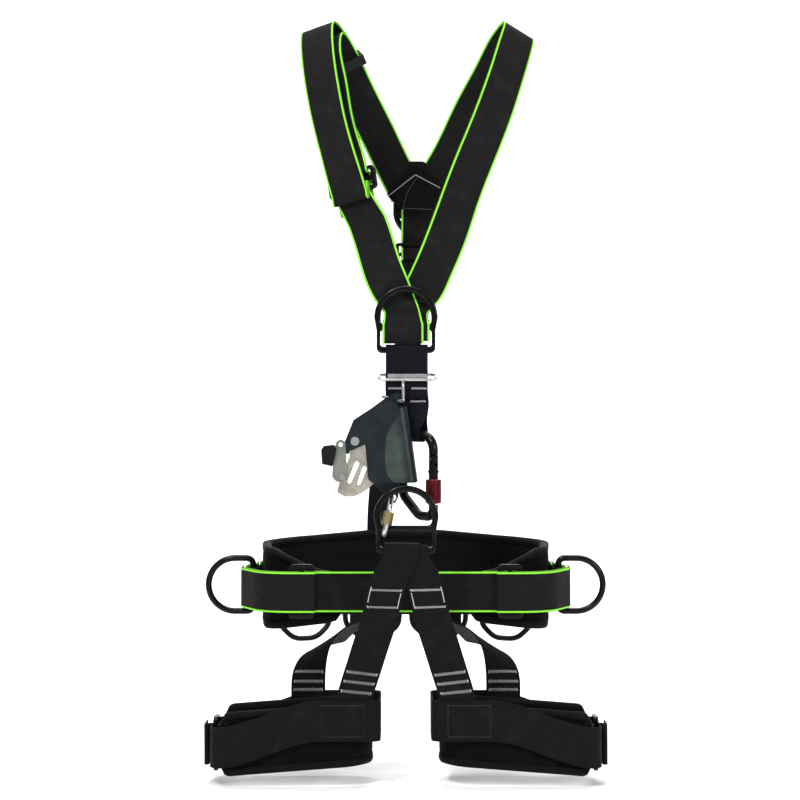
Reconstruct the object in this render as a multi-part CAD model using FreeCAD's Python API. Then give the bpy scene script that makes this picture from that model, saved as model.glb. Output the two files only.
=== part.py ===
import FreeCAD, Part

import math
import os

from FreeCAD import Vector

# Full-body climbing harness with a chest ascender, laid out as if worn.
# Frame: +X to the viewer's right, -Y to the front, +Z up, millimetres.
# The origin is the centre of the eye of the belly ring.

X = Vector(1, 0, 0)
Y = Vector(0, 1, 0)
Z = Vector(0, 0, 1)

# Webbing
WEB_WIDTH = 44.0
WEB_THICK = 2.0
LEG_WEB_WIDTH = 38.0
LAYER_GAP = 0.4

# Forged rings: an eye over a slot, the same forging for belly and chest
RING_THICK = 8.0
RING_RADIUS = 34.0
EYE_RADIUS = 27.0
EYE_CENTRE_Z = -9.0
EYE_FLOOR_Z = -17.0
SLOT_TOP_Z = -22.5
SLOT_FLOOR_Z = -40.0
SLOT_HALF_WIDTH = 27.5
RING_FLOOR_Z = -47.0
RING_FOOT_HALF_WIDTH = 31.5
CHEST_RING_Z = 211.6
RING_LEAD = 44.5  # the belly ring hangs this far in front of the belt
CROSSBAR_Z = CHEST_RING_Z + (EYE_FLOOR_Z + SLOT_TOP_Z) / 2
LOOP_DROP = 33.4

# Waist belt
BELT_TOP = -70.0
BELT_Z = BELT_TOP - WEB_WIDTH / 2
PAD_WING_Y = 38.0
PAD_BACK_Y = 200.0
PAD_SIDE_X = 160.0
PAD_SIDE_LEAN = 0.085
PAD_BOTTOM = -135.5
PAD_TOP = -38.0
PAD_TOP_EDGE = [(40.0, PAD_TOP), (106.0, -44.0), (160.0, -47.0), (250.0, -47.5)]
WING_TIP_X = 68.0
WING_TOP_EDGE = [(50.0, -74.0), (80.0, -74.0), (104.0, -67.5), (143.0, -47.5)]
WING_LOW_EDGE = [(50.0, -104.0), (68.0, -114.0), (76.0, -125.0), (86.0, -128.0), (160.0, -135.5)]
FOAM_THICK = 8.4
FABRIC_THICK = 1.5
HIP_X = 177.2
TAIL_X = 181.3

# Adjusters: a frame with a captive sliding bar
FRAME_LENGTH = 59.0
FRAME_WIDTH = 27.0
FRAME_THICK = 5.0
WINDOW_LENGTH = 49.0
WINDOW_WIDTH = 19.0
BAR_RADIUS = 2.5
TENON_RADIUS = 1.6
TENON_DEPTH = 3.0
BAR_TRAVEL = 1.5
BELT_ADJUSTER = Vector(112.5, 16.0, BELT_Z)

# Side D-rings
SIDE_RING_AXIS = Vector(170.0, 88.0, BELT_Z + 1.0)
SIDE_RING_REACH = 20.0
SIDE_RING_RADIUS = 29.5
RING_WIRE = 3.5

# Leg loops, given for the right leg and mirrored
LEG_FRONT_Y = 7.0
LEG_BACK_Y = 69.0
LEG_INNER_X = 40.0
LEG_OUTER_X = 198.0
LEG_PAD_HEIGHT = 68.0
LEG_PAD_TOP = Vector(122.0, 0, -215.5)
LEG_PAD_TILT = 4.4
LEG_FOAM_THICK = 7.0
LEG_WEB_Z = -229.0
LEG_WEB_DROP = 29.0
LEG_ADJUSTER = Vector(206.0, 38.0, LEG_WEB_Z - LEG_WEB_DROP)

# Ascender, seen from the front
PLATE_THICK = 3.0
BACK_PLATE_Y = -10.0
CHANNEL_DEPTH = 14.0
CAM_PIVOT = Vector(-54.0, 0, 71.0)
CAM_PIN = 3.0
CAM_FRONT_Y = -25.0
CAM_BACK_Y = -17.0
CATCH_PIVOT = Vector(-67.0, 0, 33.0)
CATCH_HEAD = Vector(-69.0, 0, 67.5)
CATCH_FRONT_Y = -33.5
CATCH_THICK = 2.5
CATCH_PIN = 2.0
CORD_HOLE_RADIUS = 2.2
TOP_HOLE = Vector(-4.0, 0, 113.0)
HANGER_Z = 136.0
HANGER_WIRE = 1.6
LINK_HOLE = Vector(-15.0, 0, 10.8)
TOP_HOLE_RADIUS = 5.0
LINK_HOLE_RADIUS = 4.2
CHANNEL_LOW = Vector(2.7, 0, 27.0)
CHANNEL_HIGH = Vector(-8.6, 0, 106.0)

# Quick link between the ascender and the crossbar of the belly ring
LINK_FOOT = Vector(-23.0, 0, -26.3)
LINK_HEAD = Vector(-15.0, 0, 11.0)
LINK_WIRE = 2.5
LINK_FRONT_Y = -RING_LEAD - 8.5
LINK_NECK_Y = -7.2
LINK_BACK_Y = -RING_LEAD + 9.0

# Carabiner: a plane turned about the vertical through its centre
CARABINER_CENTRE = Vector(12.9, -5.8, 0)
CARABINER_ALONG = Vector(0.7, -0.714, 0).normalize()
CARABINER_ACROSS = Vector(0.714, 0.7, 0).normalize()
LIMB = 23.0
BAR = 5.0
GATE_HINGE_Z = 52.0
GATE_FOOT_Z = 4.5

# Shoulder and back adjusters
SHOULDER_ADJUSTER = Vector(-58.5, 47.0, 352.0)
BACK_ADJUSTER = Vector(17.0, 190.0, 284.0)

# Back D-ring
BACK_RING_AXIS = Vector(15.0, 200.0, 350.0)


def mirrored(shape):
    """The same shape on the other side of the wearer."""
    return shape.mirror(Vector(0, 0, 0), X)


def corner(before, point, after, radius):
    """Start, centre and end of the tangent arc that rounds one corner."""
    back = (before - point).normalize()
    ahead = (after - point).normalize()
    half = back.getAngle(ahead) / 2
    reach = radius / math.tan(half)
    centre = point + (back + ahead).normalize() * (radius / math.sin(half))
    return point + back * reach, centre, point + ahead * reach


def rounded_edges(points, radii):
    """Straight runs joined by tangent arcs, with one radius for each inner point."""
    edges = []
    here = points[0]
    for i, radius in enumerate(radii, start=1):
        start, centre, end = corner(points[i - 1], points[i], points[i + 1], radius)
        middle = centre + ((start + end) / 2 - centre).normalize() * radius
        if start.distanceToPoint(here) > 1e-6:
            edges.append(Part.LineSegment(here, start).toShape())
        edges.append(Part.Arc(start, middle, end).toShape())
        here = end
    if here.distanceToPoint(points[-1]) > 1e-6:
        edges.append(Part.LineSegment(here, points[-1]).toShape())
    return edges


def rounded_points(points, radii, steps=4):
    """Points along the same path, with each arc in equal steps."""
    path = [points[0]]
    for i, radius in enumerate(radii, start=1):
        start, centre, end = corner(points[i - 1], points[i], points[i + 1], radius)
        spoke = start - centre
        axis = spoke.cross(end - centre)
        angle = math.degrees(spoke.getAngle(end - centre))
        for step in range(steps + 1):
            path.append(centre + FreeCAD.Rotation(axis, angle * step / steps).multVec(spoke))
    path.append(points[-1])
    return path


def offset_points(points, distance, up):
    """A polyline moved sideways, with mitred corners."""
    normals = [up.cross(after - before).normalize() for before, after in zip(points, points[1:])]
    moved = [points[0] + normals[0] * distance]
    for point, before, after in zip(points[1:], normals, normals[1:]):
        moved.append(point + (before + after) * (distance / (1 + before.dot(after))))
    moved.append(points[-1] + normals[-1] * distance)
    return moved


def band(points, radii, thickness, height, up=Z, offset=0.0):
    """A strap on edge: both parallels of a flat path, closed and extruded along up."""
    turns = []
    for before, point, after in zip(points, points[1:], points[2:]):
        turns.append(math.copysign(1, (point - before).cross(after - point).dot(up)))
    sides = []
    for distance in (offset + thickness / 2, offset - thickness / 2):
        side_radii = [radius - turn * distance for radius, turn in zip(radii, turns)]
        sides.append(rounded_edges(offset_points(points, distance, up), side_radii))
    ends = []
    for end in (0, -1):
        a = offset_points(points, offset + thickness / 2, up)[end]
        b = offset_points(points, offset - thickness / 2, up)[end]
        ends.append(Part.LineSegment(a, b).toShape())
    outline = Part.Wire(Part.sortEdges(sides[0] + sides[1] + ends)[0])
    return Part.Face(outline).extrude(up * height)


def tube(points, radii, radius):
    """A round bar along straight runs and tangent arcs."""
    path = Part.Wire(rounded_edges(points, radii))
    section = Part.Wire(Part.makeCircle(radius, points[0], points[1] - points[0]))
    return path.makePipeShell([section], True, True)


def facet_solid(sections):
    """A solid between four-cornered sections, in flat facets."""
    faces = [Part.Face(Part.makePolygon(sections[0] + sections[0][:1]))]
    faces.append(Part.Face(Part.makePolygon(sections[-1] + sections[-1][:1])))
    for low, high in zip(sections, sections[1:]):
        for i in range(4):
            j = (i + 1) % 4
            for triangle in ((low[i], low[j], high[j]), (low[i], high[j], high[i])):
                faces.append(Part.Face(Part.makePolygon(list(triangle) + [triangle[0]])))
    solid = Part.makeSolid(Part.makeShell(faces))
    if solid.Volume < 0:
        solid.reverse()
    return solid


def ribbon(stations, thickness=WEB_THICK):
    """A strap through stations of centre and width vector."""
    centres = [centre for centre, _ in stations]
    sections = []
    for i, (centre, width) in enumerate(stations):
        ahead = centres[min(i + 1, len(centres) - 1)]
        behind = centres[max(i - 1, 0)]
        normal = (ahead - behind).cross(width).normalize() * (thickness / 2)
        half = width / 2
        sections.append([centre - half - normal, centre + half - normal,
                         centre + half + normal, centre - half + normal])
    return facet_solid(sections)


def smooth_stations(stations, count):
    """Stations on smooth curves through both edges of a strap."""
    lengths = [0.0]
    for (before, _), (after, _) in zip(stations, stations[1:]):
        lengths.append(lengths[-1] + before.distanceToPoint(after))
    edges = []
    for side in (-0.5, 0.5):
        curve = Part.BSplineCurve()
        curve.interpolate(Points=[c + w * side for c, w in stations], Parameters=lengths)
        edges.append(curve)
    smooth = []
    for step in range(count):
        at = lengths[-1] * step / (count - 1)
        left, right = edges[0].value(at), edges[1].value(at)
        smooth.append(((left + right) / 2, right - left))
    return smooth


def flat_stations(origin, along, outward, width, points, radii):
    """Stations of a strap that bends in one plane: points are (along, outward) pairs."""
    places = [origin + along * a + outward * n for a, n in points]
    return [(place, width) for place in rounded_points(places, radii)]


def box(low, high):
    """A box between two corners."""
    size = high - low
    return Part.makeBox(size.x, size.y, size.z, low)


def prism(outline, depth):
    """A closed outline of points extruded by a vector."""
    return Part.Face(Part.makePolygon(outline + outline[:1])).extrude(depth)


def tapered_outline(a, radius_a, b, radius_b, normal):
    """Two circles and their outer tangents, as one closed wire."""
    line = (b - a).normalize()
    side = normal.cross(line)
    angle = math.acos((radius_a - radius_b) / a.distanceToPoint(b))
    spokes = [line * math.cos(angle) + side * (math.sin(angle) * s) for s in (1, -1)]
    a_left, a_right = [a + spoke * radius_a for spoke in spokes]
    b_left, b_right = [b + spoke * radius_b for spoke in spokes]
    edges = [Part.Arc(a_left, a - line * radius_a, a_right).toShape(),
             Part.LineSegment(a_right, b_right).toShape(),
             Part.Arc(b_right, b + line * radius_b, b_left).toShape(),
             Part.LineSegment(b_left, a_left).toShape()]
    return Part.Wire(edges)


def arc_edge(a, middle, b):
    return Part.Arc(a, middle, b).toShape()


def line_edge(a, b):
    return Part.LineSegment(a, b).toShape()


# ---------------------------------------------------------------- rings

def flat_point(x, z, y=0.0):
    return Vector(x, y, z)


def ring_outline(y):
    """Round top, slightly waisted sides and a straight foot."""
    shoulder = flat_point(RING_RADIUS, EYE_CENTRE_Z, y)
    waist = flat_point(RING_FOOT_HALF_WIDTH, SLOT_TOP_Z, y)
    foot = flat_point(RING_FOOT_HALF_WIDTH, RING_FLOOR_Z, y)
    flip = lambda p: Vector(-p.x, p.y, p.z)
    top = flat_point(0, EYE_CENTRE_Z + RING_RADIUS, y)
    side = [shoulder, waist, foot, flip(foot), flip(waist), flip(shoulder)]
    return Part.Wire([arc_edge(flip(shoulder), top, shoulder)] + rounded_edges(side, [20, 6, 6, 20]))


def eye_outline(y):
    """Half-round top over a flat floor."""
    side = flat_point(EYE_RADIUS, EYE_CENTRE_Z, y)
    floor = flat_point(EYE_RADIUS, EYE_FLOOR_Z, y)
    flip = lambda p: Vector(-p.x, p.y, p.z)
    top = flat_point(0, EYE_CENTRE_Z + EYE_RADIUS, y)
    walls = rounded_edges([side, floor, flip(floor), flip(side)], [5, 5])
    return Part.Wire([arc_edge(flip(side), top, side)] + walls)


def slot_outline(y):
    """A long slot with rounded ends, drawn from the middle of its floor."""
    corners = [flat_point(0, SLOT_FLOOR_Z, y),
               flat_point(SLOT_HALF_WIDTH, SLOT_FLOOR_Z, y),
               flat_point(SLOT_HALF_WIDTH, SLOT_TOP_Z, y),
               flat_point(-SLOT_HALF_WIDTH, SLOT_TOP_Z, y),
               flat_point(-SLOT_HALF_WIDTH, SLOT_FLOOR_Z, y),
               flat_point(0, SLOT_FLOOR_Z, y)]
    return Part.Wire(rounded_edges(corners, [3, 3, 3, 3]))


def forged_ring(place):
    """An eye over a slot, with every rim rounded."""
    front = -RING_THICK / 2
    depth = Y * RING_THICK
    body = Part.Face(ring_outline(front)).extrude(depth)
    outer_rim = [e for e in body.Edges if abs(e.Vertexes[0].Y - e.Vertexes[-1].Y) < 1e-6]
    body = body.makeFillet(1.9, outer_rim)
    eye = Part.Face(eye_outline(front)).extrude(depth)
    slot = Part.Face(slot_outline(front)).extrude(depth)
    for hole, radius in ((eye, 2.8), (slot, 1.9)):
        body = body.cut(hole)
        body = body.makeFillet(radius, hole_rim(body, hole))
    return body.translated(place)


def hole_rim(body, hole):
    """The edges that a hole has just cut in the front and back faces."""
    rim = []
    low = hole.BoundBox
    for edge in body.Edges:
        box_edge = edge.BoundBox
        flat = box_edge.YLength < 1e-4 and abs(abs(box_edge.YMin) - RING_THICK / 2) < 1e-4
        inside = (low.XMin - 0.01 < box_edge.XMin and box_edge.XMax < low.XMax + 0.01
                  and low.ZMin - 0.01 < box_edge.ZMin and box_edge.ZMax < low.ZMax + 0.01)
        if flat and inside:
            rim.append(edge)
    return rim


def d_ring(axis, reach, radius, along, across):
    """A round-bar D: a straight bar on the axis, two arms and a half circle."""
    half = along * radius
    far = across * (reach + radius)
    corners = [axis, axis + half, axis + half + far, axis - half + far, axis - half, axis]
    return tube(corners, [7, radius, radius, 7], RING_WIRE)


# ---------------------------------------------------------------- adjusters

def adjuster_frame(origin, along, outward):
    """A rounded frame with a window; slots in its ends keep the sliding bar."""
    length = outward.cross(along)
    half_width, half_length = FRAME_WIDTH / 2, FRAME_LENGTH / 2
    back = origin - outward * (FRAME_THICK / 2)
    corners = [back - length * half_length]
    for a, s in ((1, -1), (1, 1), (-1, 1), (-1, -1)):
        corners.append(back + along * (a * half_width) + length * (s * half_length))
    corners.append(corners[0])
    body = Part.Face(Part.Wire(rounded_edges(corners, [5] * 4))).extrude(outward * FRAME_THICK)
    body = body.makeFillet(1.0, [e for e in body.Edges if abs(e.Length - FRAME_THICK) > 0.01])
    window = [back + along * (a * WINDOW_WIDTH / 2) + length * (s * WINDOW_LENGTH / 2)
              for a, s in ((1, -1), (1, 1), (-1, 1), (-1, -1))]
    body = body.cut(prism(window, outward * FRAME_THICK))
    reach = BAR_TRAVEL + TENON_RADIUS + 0.1
    wall = TENON_RADIUS + 0.1
    slot_half = WINDOW_LENGTH / 2 + TENON_DEPTH + 0.2
    slot = [origin - along * reach - outward * wall - length * slot_half,
            origin + along * reach - outward * wall - length * slot_half,
            origin + along * reach + outward * wall - length * slot_half,
            origin - along * reach + outward * wall - length * slot_half]
    return body.cut(prism(slot, length * (2 * slot_half)))


def adjuster_bar(origin, along, outward):
    """The sliding bar with a thin tenon at each end."""
    length = outward.cross(along)
    half = WINDOW_LENGTH / 2 - 0.3
    middle = Part.makeCylinder(BAR_RADIUS, 2 * half, origin - length * half, length)
    reach = WINDOW_LENGTH / 2 + TENON_DEPTH
    return middle.fuse(Part.makeCylinder(TENON_RADIUS, 2 * reach, origin - length * reach, length))


# Routes through an adjuster, as (along, outward) pairs. The running strap passes over the
# frame, round the bar and out again, and its tail folds back. The fixed strap loops the far rail.
OVER_RAIL = FRAME_THICK / 2 + LAYER_GAP + WEB_THICK / 2
FOLD_INNER = 7.6
FOLD_OUTER = 11.4


def running_route(fold):
    """Inner part of the running strap, from above the frame to the start of its tail."""
    points = [(-7.9, OVER_RAIL), (-6.1, -4.6), (5.5, -4.6), (5.5, FOLD_INNER),
              (fold, FOLD_INNER), (fold, FOLD_OUTER)]
    return points, [2.0, 1.6, 1.6, 1.6, 1.8, 1.8]


def fixed_route(tail):
    """Fixed strap round the far rail, from its sewn end to just past the frame."""
    points = [(tail, -OVER_RAIL), (8.1, -OVER_RAIL), (8.1, OVER_RAIL), (16.0, OVER_RAIL)]
    return points, [1.6, 1.6]


# ---------------------------------------------------------------- waist belt

def pad_path(start):
    """Plan round the back of the waist pad's middle, from and to a start on the right side."""
    half = start + [Vector(PAD_SIDE_X, 160, 0), Vector(118, PAD_BACK_Y, 0)]
    radii = [28] * (len(start) - 1) + [45, 60]
    return half + [Vector(-p.x, p.y, 0) for p in reversed(half)], radii + radii[::-1]


def pad_side(y):
    """A point on the side of the pad, which leans in towards the front."""
    return Vector(PAD_SIDE_X - PAD_SIDE_LEAN * (160.0 - y), y, 0)


def trim(edge, z, low_y, high_y):
    """The block between an edge line given in front view and a level, on both sides."""
    corners = [Vector(x, low_y, edge_z) for x, edge_z in edge]
    corners += [Vector(edge[-1][0], low_y, z), Vector(edge[0][0], low_y, z)]
    block = prism(corners, Y * (high_y - low_y))
    return [block, mirrored(block)]


def pad_layer(thickness, offset):
    """One layer of the waist pad, with a wing behind each end of the front webbing."""
    points, radii = pad_path([Vector(WING_TIP_X, PAD_WING_Y, 0), pad_side(PAD_WING_Y)])
    layer = band(points, radii, thickness, PAD_TOP - PAD_BOTTOM, offset=offset)
    layer.translate(Z * PAD_BOTTOM)
    blocks = trim(PAD_TOP_EDGE, PAD_TOP + 5, 20, 230)
    blocks += trim(WING_TOP_EDGE, PAD_TOP + 5, 20, 60)
    blocks += trim(WING_LOW_EDGE, PAD_BOTTOM - 5, 20, 60)
    return layer.cut(blocks)


def waist_pad():
    fabric_offset = FOAM_THICK / 2 + 0.1 + FABRIC_THICK / 2
    return {"waist_pad_foam": pad_layer(FOAM_THICK, 0.0),
            "waist_pad_lining": pad_layer(FABRIC_THICK, fabric_offset),
            "waist_pad_cover": pad_layer(FABRIC_THICK, -fabric_offset)}


PAD_HALF = FOAM_THICK / 2 + 0.1 + FABRIC_THICK


def rear_belt():
    """Webbing sewn round the outside of the pad."""
    points, radii = pad_path([pad_side(128.0)])
    offset = -(PAD_HALF + 0.3 + WEB_THICK / 2)
    return band(points, radii, WEB_THICK, WEB_WIDTH, offset=offset).translated(Z * (BELT_TOP - WEB_WIDTH))


def hip_strap():
    """Right side strap: from the side of the pad through the adjuster, tail folded back outside."""
    inner, inner_radii = running_route(14.2)
    along = BELT_ADJUSTER
    through = [Vector(along.x - a, along.y - n, 0) for a, n in inner]
    tail_y = through[-1].y
    points = [Vector(168.6, 152, 0), Vector(167.2, 132, 0), Vector(HIP_X, 106, 0),
              Vector(HIP_X, 66, 0), Vector(150, 12.6, 0)] + through
    points += [Vector(153, tail_y + 0.8, 0), Vector(TAIL_X, 65, 0), Vector(TAIL_X, 96, 0)]
    radii = [20, 20, 40, 40] + inner_radii + [44, 40]
    return band(points, radii, WEB_THICK, WEB_WIDTH).translated(Z * (BELT_TOP - WEB_WIDTH))


def front_belt():
    """Middle webbing, looped on the inner rail of both adjusters."""
    loop, radii = fixed_route(30.0)
    half = [Vector(BELT_ADJUSTER.x - a, BELT_ADJUSTER.y - n, 0) for a, n in loop[:3]]
    points = half + [Vector(-p.x, p.y, 0) for p in reversed(half)]
    return band(points, radii * 2, WEB_THICK, WEB_WIDTH).translated(Z * (BELT_TOP - WEB_WIDTH))


def side_tab():
    """Webbing loop that holds a side ring against the pad."""
    height = 40.0
    low = Vector(SIDE_RING_AXIS.x, SIDE_RING_AXIS.y, BELT_Z - height / 2)
    tail = Vector(165.6, 121, low.z)
    tab = Part.Face(tapered_outline(low, 5.7, tail, 1.2, Z)).extrude(Z * height)
    return tab.cut(Part.makeCylinder(RING_WIRE + 0.5, height, low, Z))


def gear_loop(start, end):
    """A moulded tube hanging between two points on the lower edge of the pad."""
    chord = end - start
    sag = [(0.0, 0), (0.03, -28), (0.28, -43), (0.72, -43), (0.97, -28), (1.0, 0)]
    return tube([start + chord * t + Z * drop for t, drop in sag], [16, 22, 22, 16], 3.2)


def gear_tab(place, outward):
    """Patch sewn over one end of a gear loop."""
    side = Z.cross(outward)
    face = place + outward * 3.6 - side * 7 - Z * 14
    corners = [face, face + side * 14, face + side * 14 + Z * 16, face + Z * 16]
    return prism(corners, outward * 1.6)


def gear_loops():
    """Two loops behind each hip; each end has a tab."""
    loops = {}
    tabs = []
    rear = Y
    diagonal = Vector(0.69, 0.724, 0)
    spans = {"inner": (Vector(6, 210, -121), rear, Vector(72, 210, -121), rear),
             "outer": (Vector(88, 210, -121), rear, Vector(146.6, 188, -121), diagonal)}
    for name, (start, start_out, end, end_out) in spans.items():
        loop = gear_loop(start, end)
        loops["gear_loops_" + name] = Part.makeCompound([loop, mirrored(loop)])
        for place, outward in ((start, start_out), (end, end_out)):
            tab = gear_tab(place, outward)
            tabs += [tab, mirrored(tab)]
    loops["gear_loop_tabs"] = Part.makeCompound(tabs)
    return loops


def waist():
    """Every piece of the belt."""
    parts = waist_pad()
    parts["belt_webbing_rear"] = rear_belt()
    parts["belt_webbing_front"] = front_belt()
    ring = d_ring(SIDE_RING_AXIS, SIDE_RING_REACH, SIDE_RING_RADIUS, Z, X)
    pieces = {"belt_strap": hip_strap(), "side_ring": ring,
              "belt_adjuster": adjuster_frame(BELT_ADJUSTER, -X, -Y),
              "belt_adjuster_bar": adjuster_bar(BELT_ADJUSTER, -X, -Y)}
    for name, shape in pieces.items():
        parts[name + "_right"] = shape
        parts[name + "_left"] = mirrored(shape)
    tab = side_tab()
    parts["side_ring_tabs"] = Part.makeCompound([tab, mirrored(tab)])
    parts.update(gear_loops())
    return parts


# ---------------------------------------------------------------- legs

def smoothstep(t):
    t = min(max(t, 0.0), 1.0)
    return t * t * (3 - 2 * t)


def leg_web_z(x):
    """The leg webbing is level near the crotch and lower at the hip."""
    return LEG_WEB_Z - LEG_WEB_DROP * smoothstep((x - 90.0) / 116.0)


def leg_pad_layer(thickness, offset):
    """One layer of a leg pad: a U in plan, open at the hip, tilted down outwards."""
    points = [Vector(LEG_OUTER_X, LEG_FRONT_Y, 0), Vector(LEG_INNER_X, LEG_FRONT_Y, 0),
              Vector(LEG_INNER_X, LEG_BACK_Y, 0), Vector(LEG_OUTER_X, LEG_BACK_Y, 0)]
    layer = band(points, [28, 28], thickness, LEG_PAD_HEIGHT, offset=offset)
    layer.translate(Vector(0, 0, LEG_PAD_TOP.z - LEG_PAD_HEIGHT))
    layer.rotate(LEG_PAD_TOP, Y, LEG_PAD_TILT)
    return layer


def leg_webbing():
    """Webbing round the pad: looped on the front rail, round the thigh, through the adjuster."""
    fixed, fixed_radii = fixed_route(26.0)
    running, running_radii = running_route(15.0)
    hip = LEG_ADJUSTER
    place = lambda a, n: Vector(hip.x + n, hip.y - a, 0)
    outer_x = hip.x + OVER_RAIL
    front_y = LEG_FRONT_Y - 9.0
    back_y = LEG_BACK_Y + 9.6
    inner_x = LEG_INNER_X - 12.0
    plan = [place(*p) for p in fixed[:3]]
    plan += [Vector(outer_x, front_y, 0), Vector(170, front_y, 0), Vector(140, front_y, 0),
             Vector(115, front_y, 0), Vector(90, front_y, 0), Vector(inner_x, front_y, 0),
             Vector(inner_x, back_y, 0), Vector(90, back_y, 0), Vector(115, back_y, 0),
             Vector(140, back_y, 0), Vector(170, back_y, 0), Vector(outer_x, back_y, 0)]
    plan += [place(*p) for p in running] + [place(-14.0, FOLD_OUTER)]
    bends = {3: 14.0, 8: 9.0, 9: 9.0, 14: 14.0}
    inner_radii = dict(enumerate(running_radii, start=15))
    radii = {1: fixed_radii[0], 2: fixed_radii[1], **bends, **inner_radii}
    path = [plan[0]]
    for i in range(1, len(plan) - 1):
        if i in radii:
            path += rounded_points(plan[i - 1:i + 2], [radii[i]])[1:-1]
        else:
            path.append(plan[i])
    path.append(plan[-1])
    lifted = [Vector(p.x, p.y, leg_web_z(p.x)) for p in path]
    return ribbon([(p, Z * WEB_WIDTH) for p in lifted])


def hung_forward(stations):
    """Leg strap stations moved forward with the belly ring at the top, and not at all at the leg."""
    moved = []
    for point, width in stations:
        share = 1 - smoothstep((-50.0 - point.z) / 140.0)
        moved.append((point - Y * (RING_LEAD * share), width))
    return moved


def front_leg_strap():
    """Right front leg strap: over the foot bar of the belly ring, down to the leg pad."""
    bar_z = (SLOT_FLOOR_Z + RING_FLOOR_Z) / 2
    around = RING_THICK / 2 + LAYER_GAP + WEB_THICK / 2
    width = X * LEG_WEB_WIDTH
    over = bar_z + 3.5 + LAYER_GAP + WEB_THICK / 2
    under_z = bar_z - 22.0
    loop = flat_stations(Vector(4.5, 0, 0), Z, -Y, width,
                         [(under_z, -around + 3.6), (bar_z - 6, -around), (over, -around),
                          (over, around), (bar_z - 4.0, around)], [8, 2.0, 2.0])
    run = [(Vector(5.5, -around, bar_z - 6.0), width),
           (Vector(11, -4.4, -60), Vector(37.5, -1, 4)),
           (Vector(19.5, -1.8, -80), Vector(37, -1, 8)),
           (Vector(26.5, -0.8, -112), Vector(37, -1, 8.5)),
           (Vector(36, 0.1, -143), Vector(36.5, 0, 11)),
           (Vector(46.5, 0.5, -176), Vector(36.5, 0, 11)),
           (Vector(54.5, 0.5, -202), Vector(36.8, 0, 9)),
           (Vector(60.5, 0.5, -232), Vector(37.4, 0, 6))]
    return ribbon(hung_forward(loop + smooth_stations(run, 24)))


def second_leg_strap():
    """Left front leg strap, lapped over the right one on the ring's foot bar."""
    bar_z = (SLOT_FLOOR_Z + RING_FLOOR_Z) / 2
    around = RING_THICK / 2 + 2 * LAYER_GAP + WEB_THICK * 1.5
    width = X * LEG_WEB_WIDTH
    over = bar_z + 3.5 + 2 * LAYER_GAP + WEB_THICK * 1.5
    under_z = bar_z - 24.0
    loop = flat_stations(Vector(-4.5, 0, 0), Z, -Y, width,
                         [(under_z, -around + 3.6), (bar_z - 6, -around), (over, -around),
                          (over, around), (bar_z - 4.0, around)], [8, 3.0, 3.0])
    run = [(Vector(-5.5, -around, bar_z - 6.0), width),
           (Vector(-11, -6.9, -60), Vector(37.5, 1, -4)),
           (Vector(-19.5, -4.4, -80), Vector(37, 1, -8)),
           (Vector(-27.5, -1.6, -112), Vector(37, 1, -8.5)),
           (Vector(-36.5, 0.0, -143), Vector(36.5, 0, -11)),
           (Vector(-46.5, 0.5, -176), Vector(36.5, 0, -11)),
           (Vector(-54.5, 0.5, -202), Vector(36.8, 0, -9)),
           (Vector(-60.5, 0.5, -232), Vector(37.4, 0, -6))]
    return ribbon(hung_forward(loop + smooth_stations(run, 24)))


def riser():
    """Right rear riser: from the back of the leg pad up to the inside of the waist pad."""
    back = LEG_BACK_Y + 6.8
    stations = [(Vector(108, back, -238), Vector(38, 0, 0)),
                (Vector(108, back, -222), Vector(38, 0, 0)),
                (Vector(108, back, -207), Vector(38, 0, 0)),
                (Vector(107, back + 2.6, -186), Vector(37, 3, -4)),
                (Vector(101, back + 12, -167), Vector(33, 10, -13)),
                (Vector(85, 112, -155), Vector(26, 15, -22)),
                (Vector(66, 146, -151), Vector(22, 16, -26)),
                (Vector(54, 172, -148), Vector(26, 8, -24)),
                (Vector(48, 187.0, -138), Vector(34, 2, -12)),
                (Vector(46, 191.6, -122), Vector(38, 0, 0)),
                (Vector(46, 191.8, -106), Vector(38, 0, 0))]
    return ribbon(smooth_stations(stations, 30))


def legs():
    """Both leg loops and the straps that carry them."""
    cover_offset = LEG_FOAM_THICK / 2 + 0.1 + FABRIC_THICK / 2
    pieces = {"leg_webbing": leg_webbing(),
              "leg_adjuster": adjuster_frame(LEG_ADJUSTER, -Y, X),
              "leg_adjuster_bar": adjuster_bar(LEG_ADJUSTER, -Y, X)}
    parts = {}
    for name, shape in pieces.items():
        parts[name + "_right"] = shape
        parts[name + "_left"] = mirrored(shape)
    pairs = {"leg_covers": leg_pad_layer(FABRIC_THICK, cover_offset),
             "leg_foams": leg_pad_layer(LEG_FOAM_THICK, 0.0),
             "leg_linings": leg_pad_layer(FABRIC_THICK, -cover_offset),
             "leg_risers": riser()}
    for name, shape in pairs.items():
        parts[name] = Part.makeCompound([shape, mirrored(shape)])
    parts["leg_front_strap_right"] = front_leg_strap()
    parts["leg_front_strap_left"] = second_leg_strap()
    return parts


# ---------------------------------------------------------------- chest and shoulders

def crossbar_loop(x, layer):
    """Strap end folded round the chest ring's crossbar, from its sewn end to the front."""
    spacing = LAYER_GAP + WEB_THICK / 2 + layer * (WEB_THICK + LAYER_GAP)
    around = RING_THICK / 2 + spacing
    under = CHEST_RING_Z - LOOP_DROP - layer * (WEB_THICK + LAYER_GAP)
    points = [(CROSSBAR_Z + 9, -around), (under, -around), (under, around), (CROSSBAR_Z + 3, around)]
    return flat_stations(Vector(x, 0, 0), Z, -Y, X * WEB_WIDTH, points, [2.2 + layer, 2.2 + layer])


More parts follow.
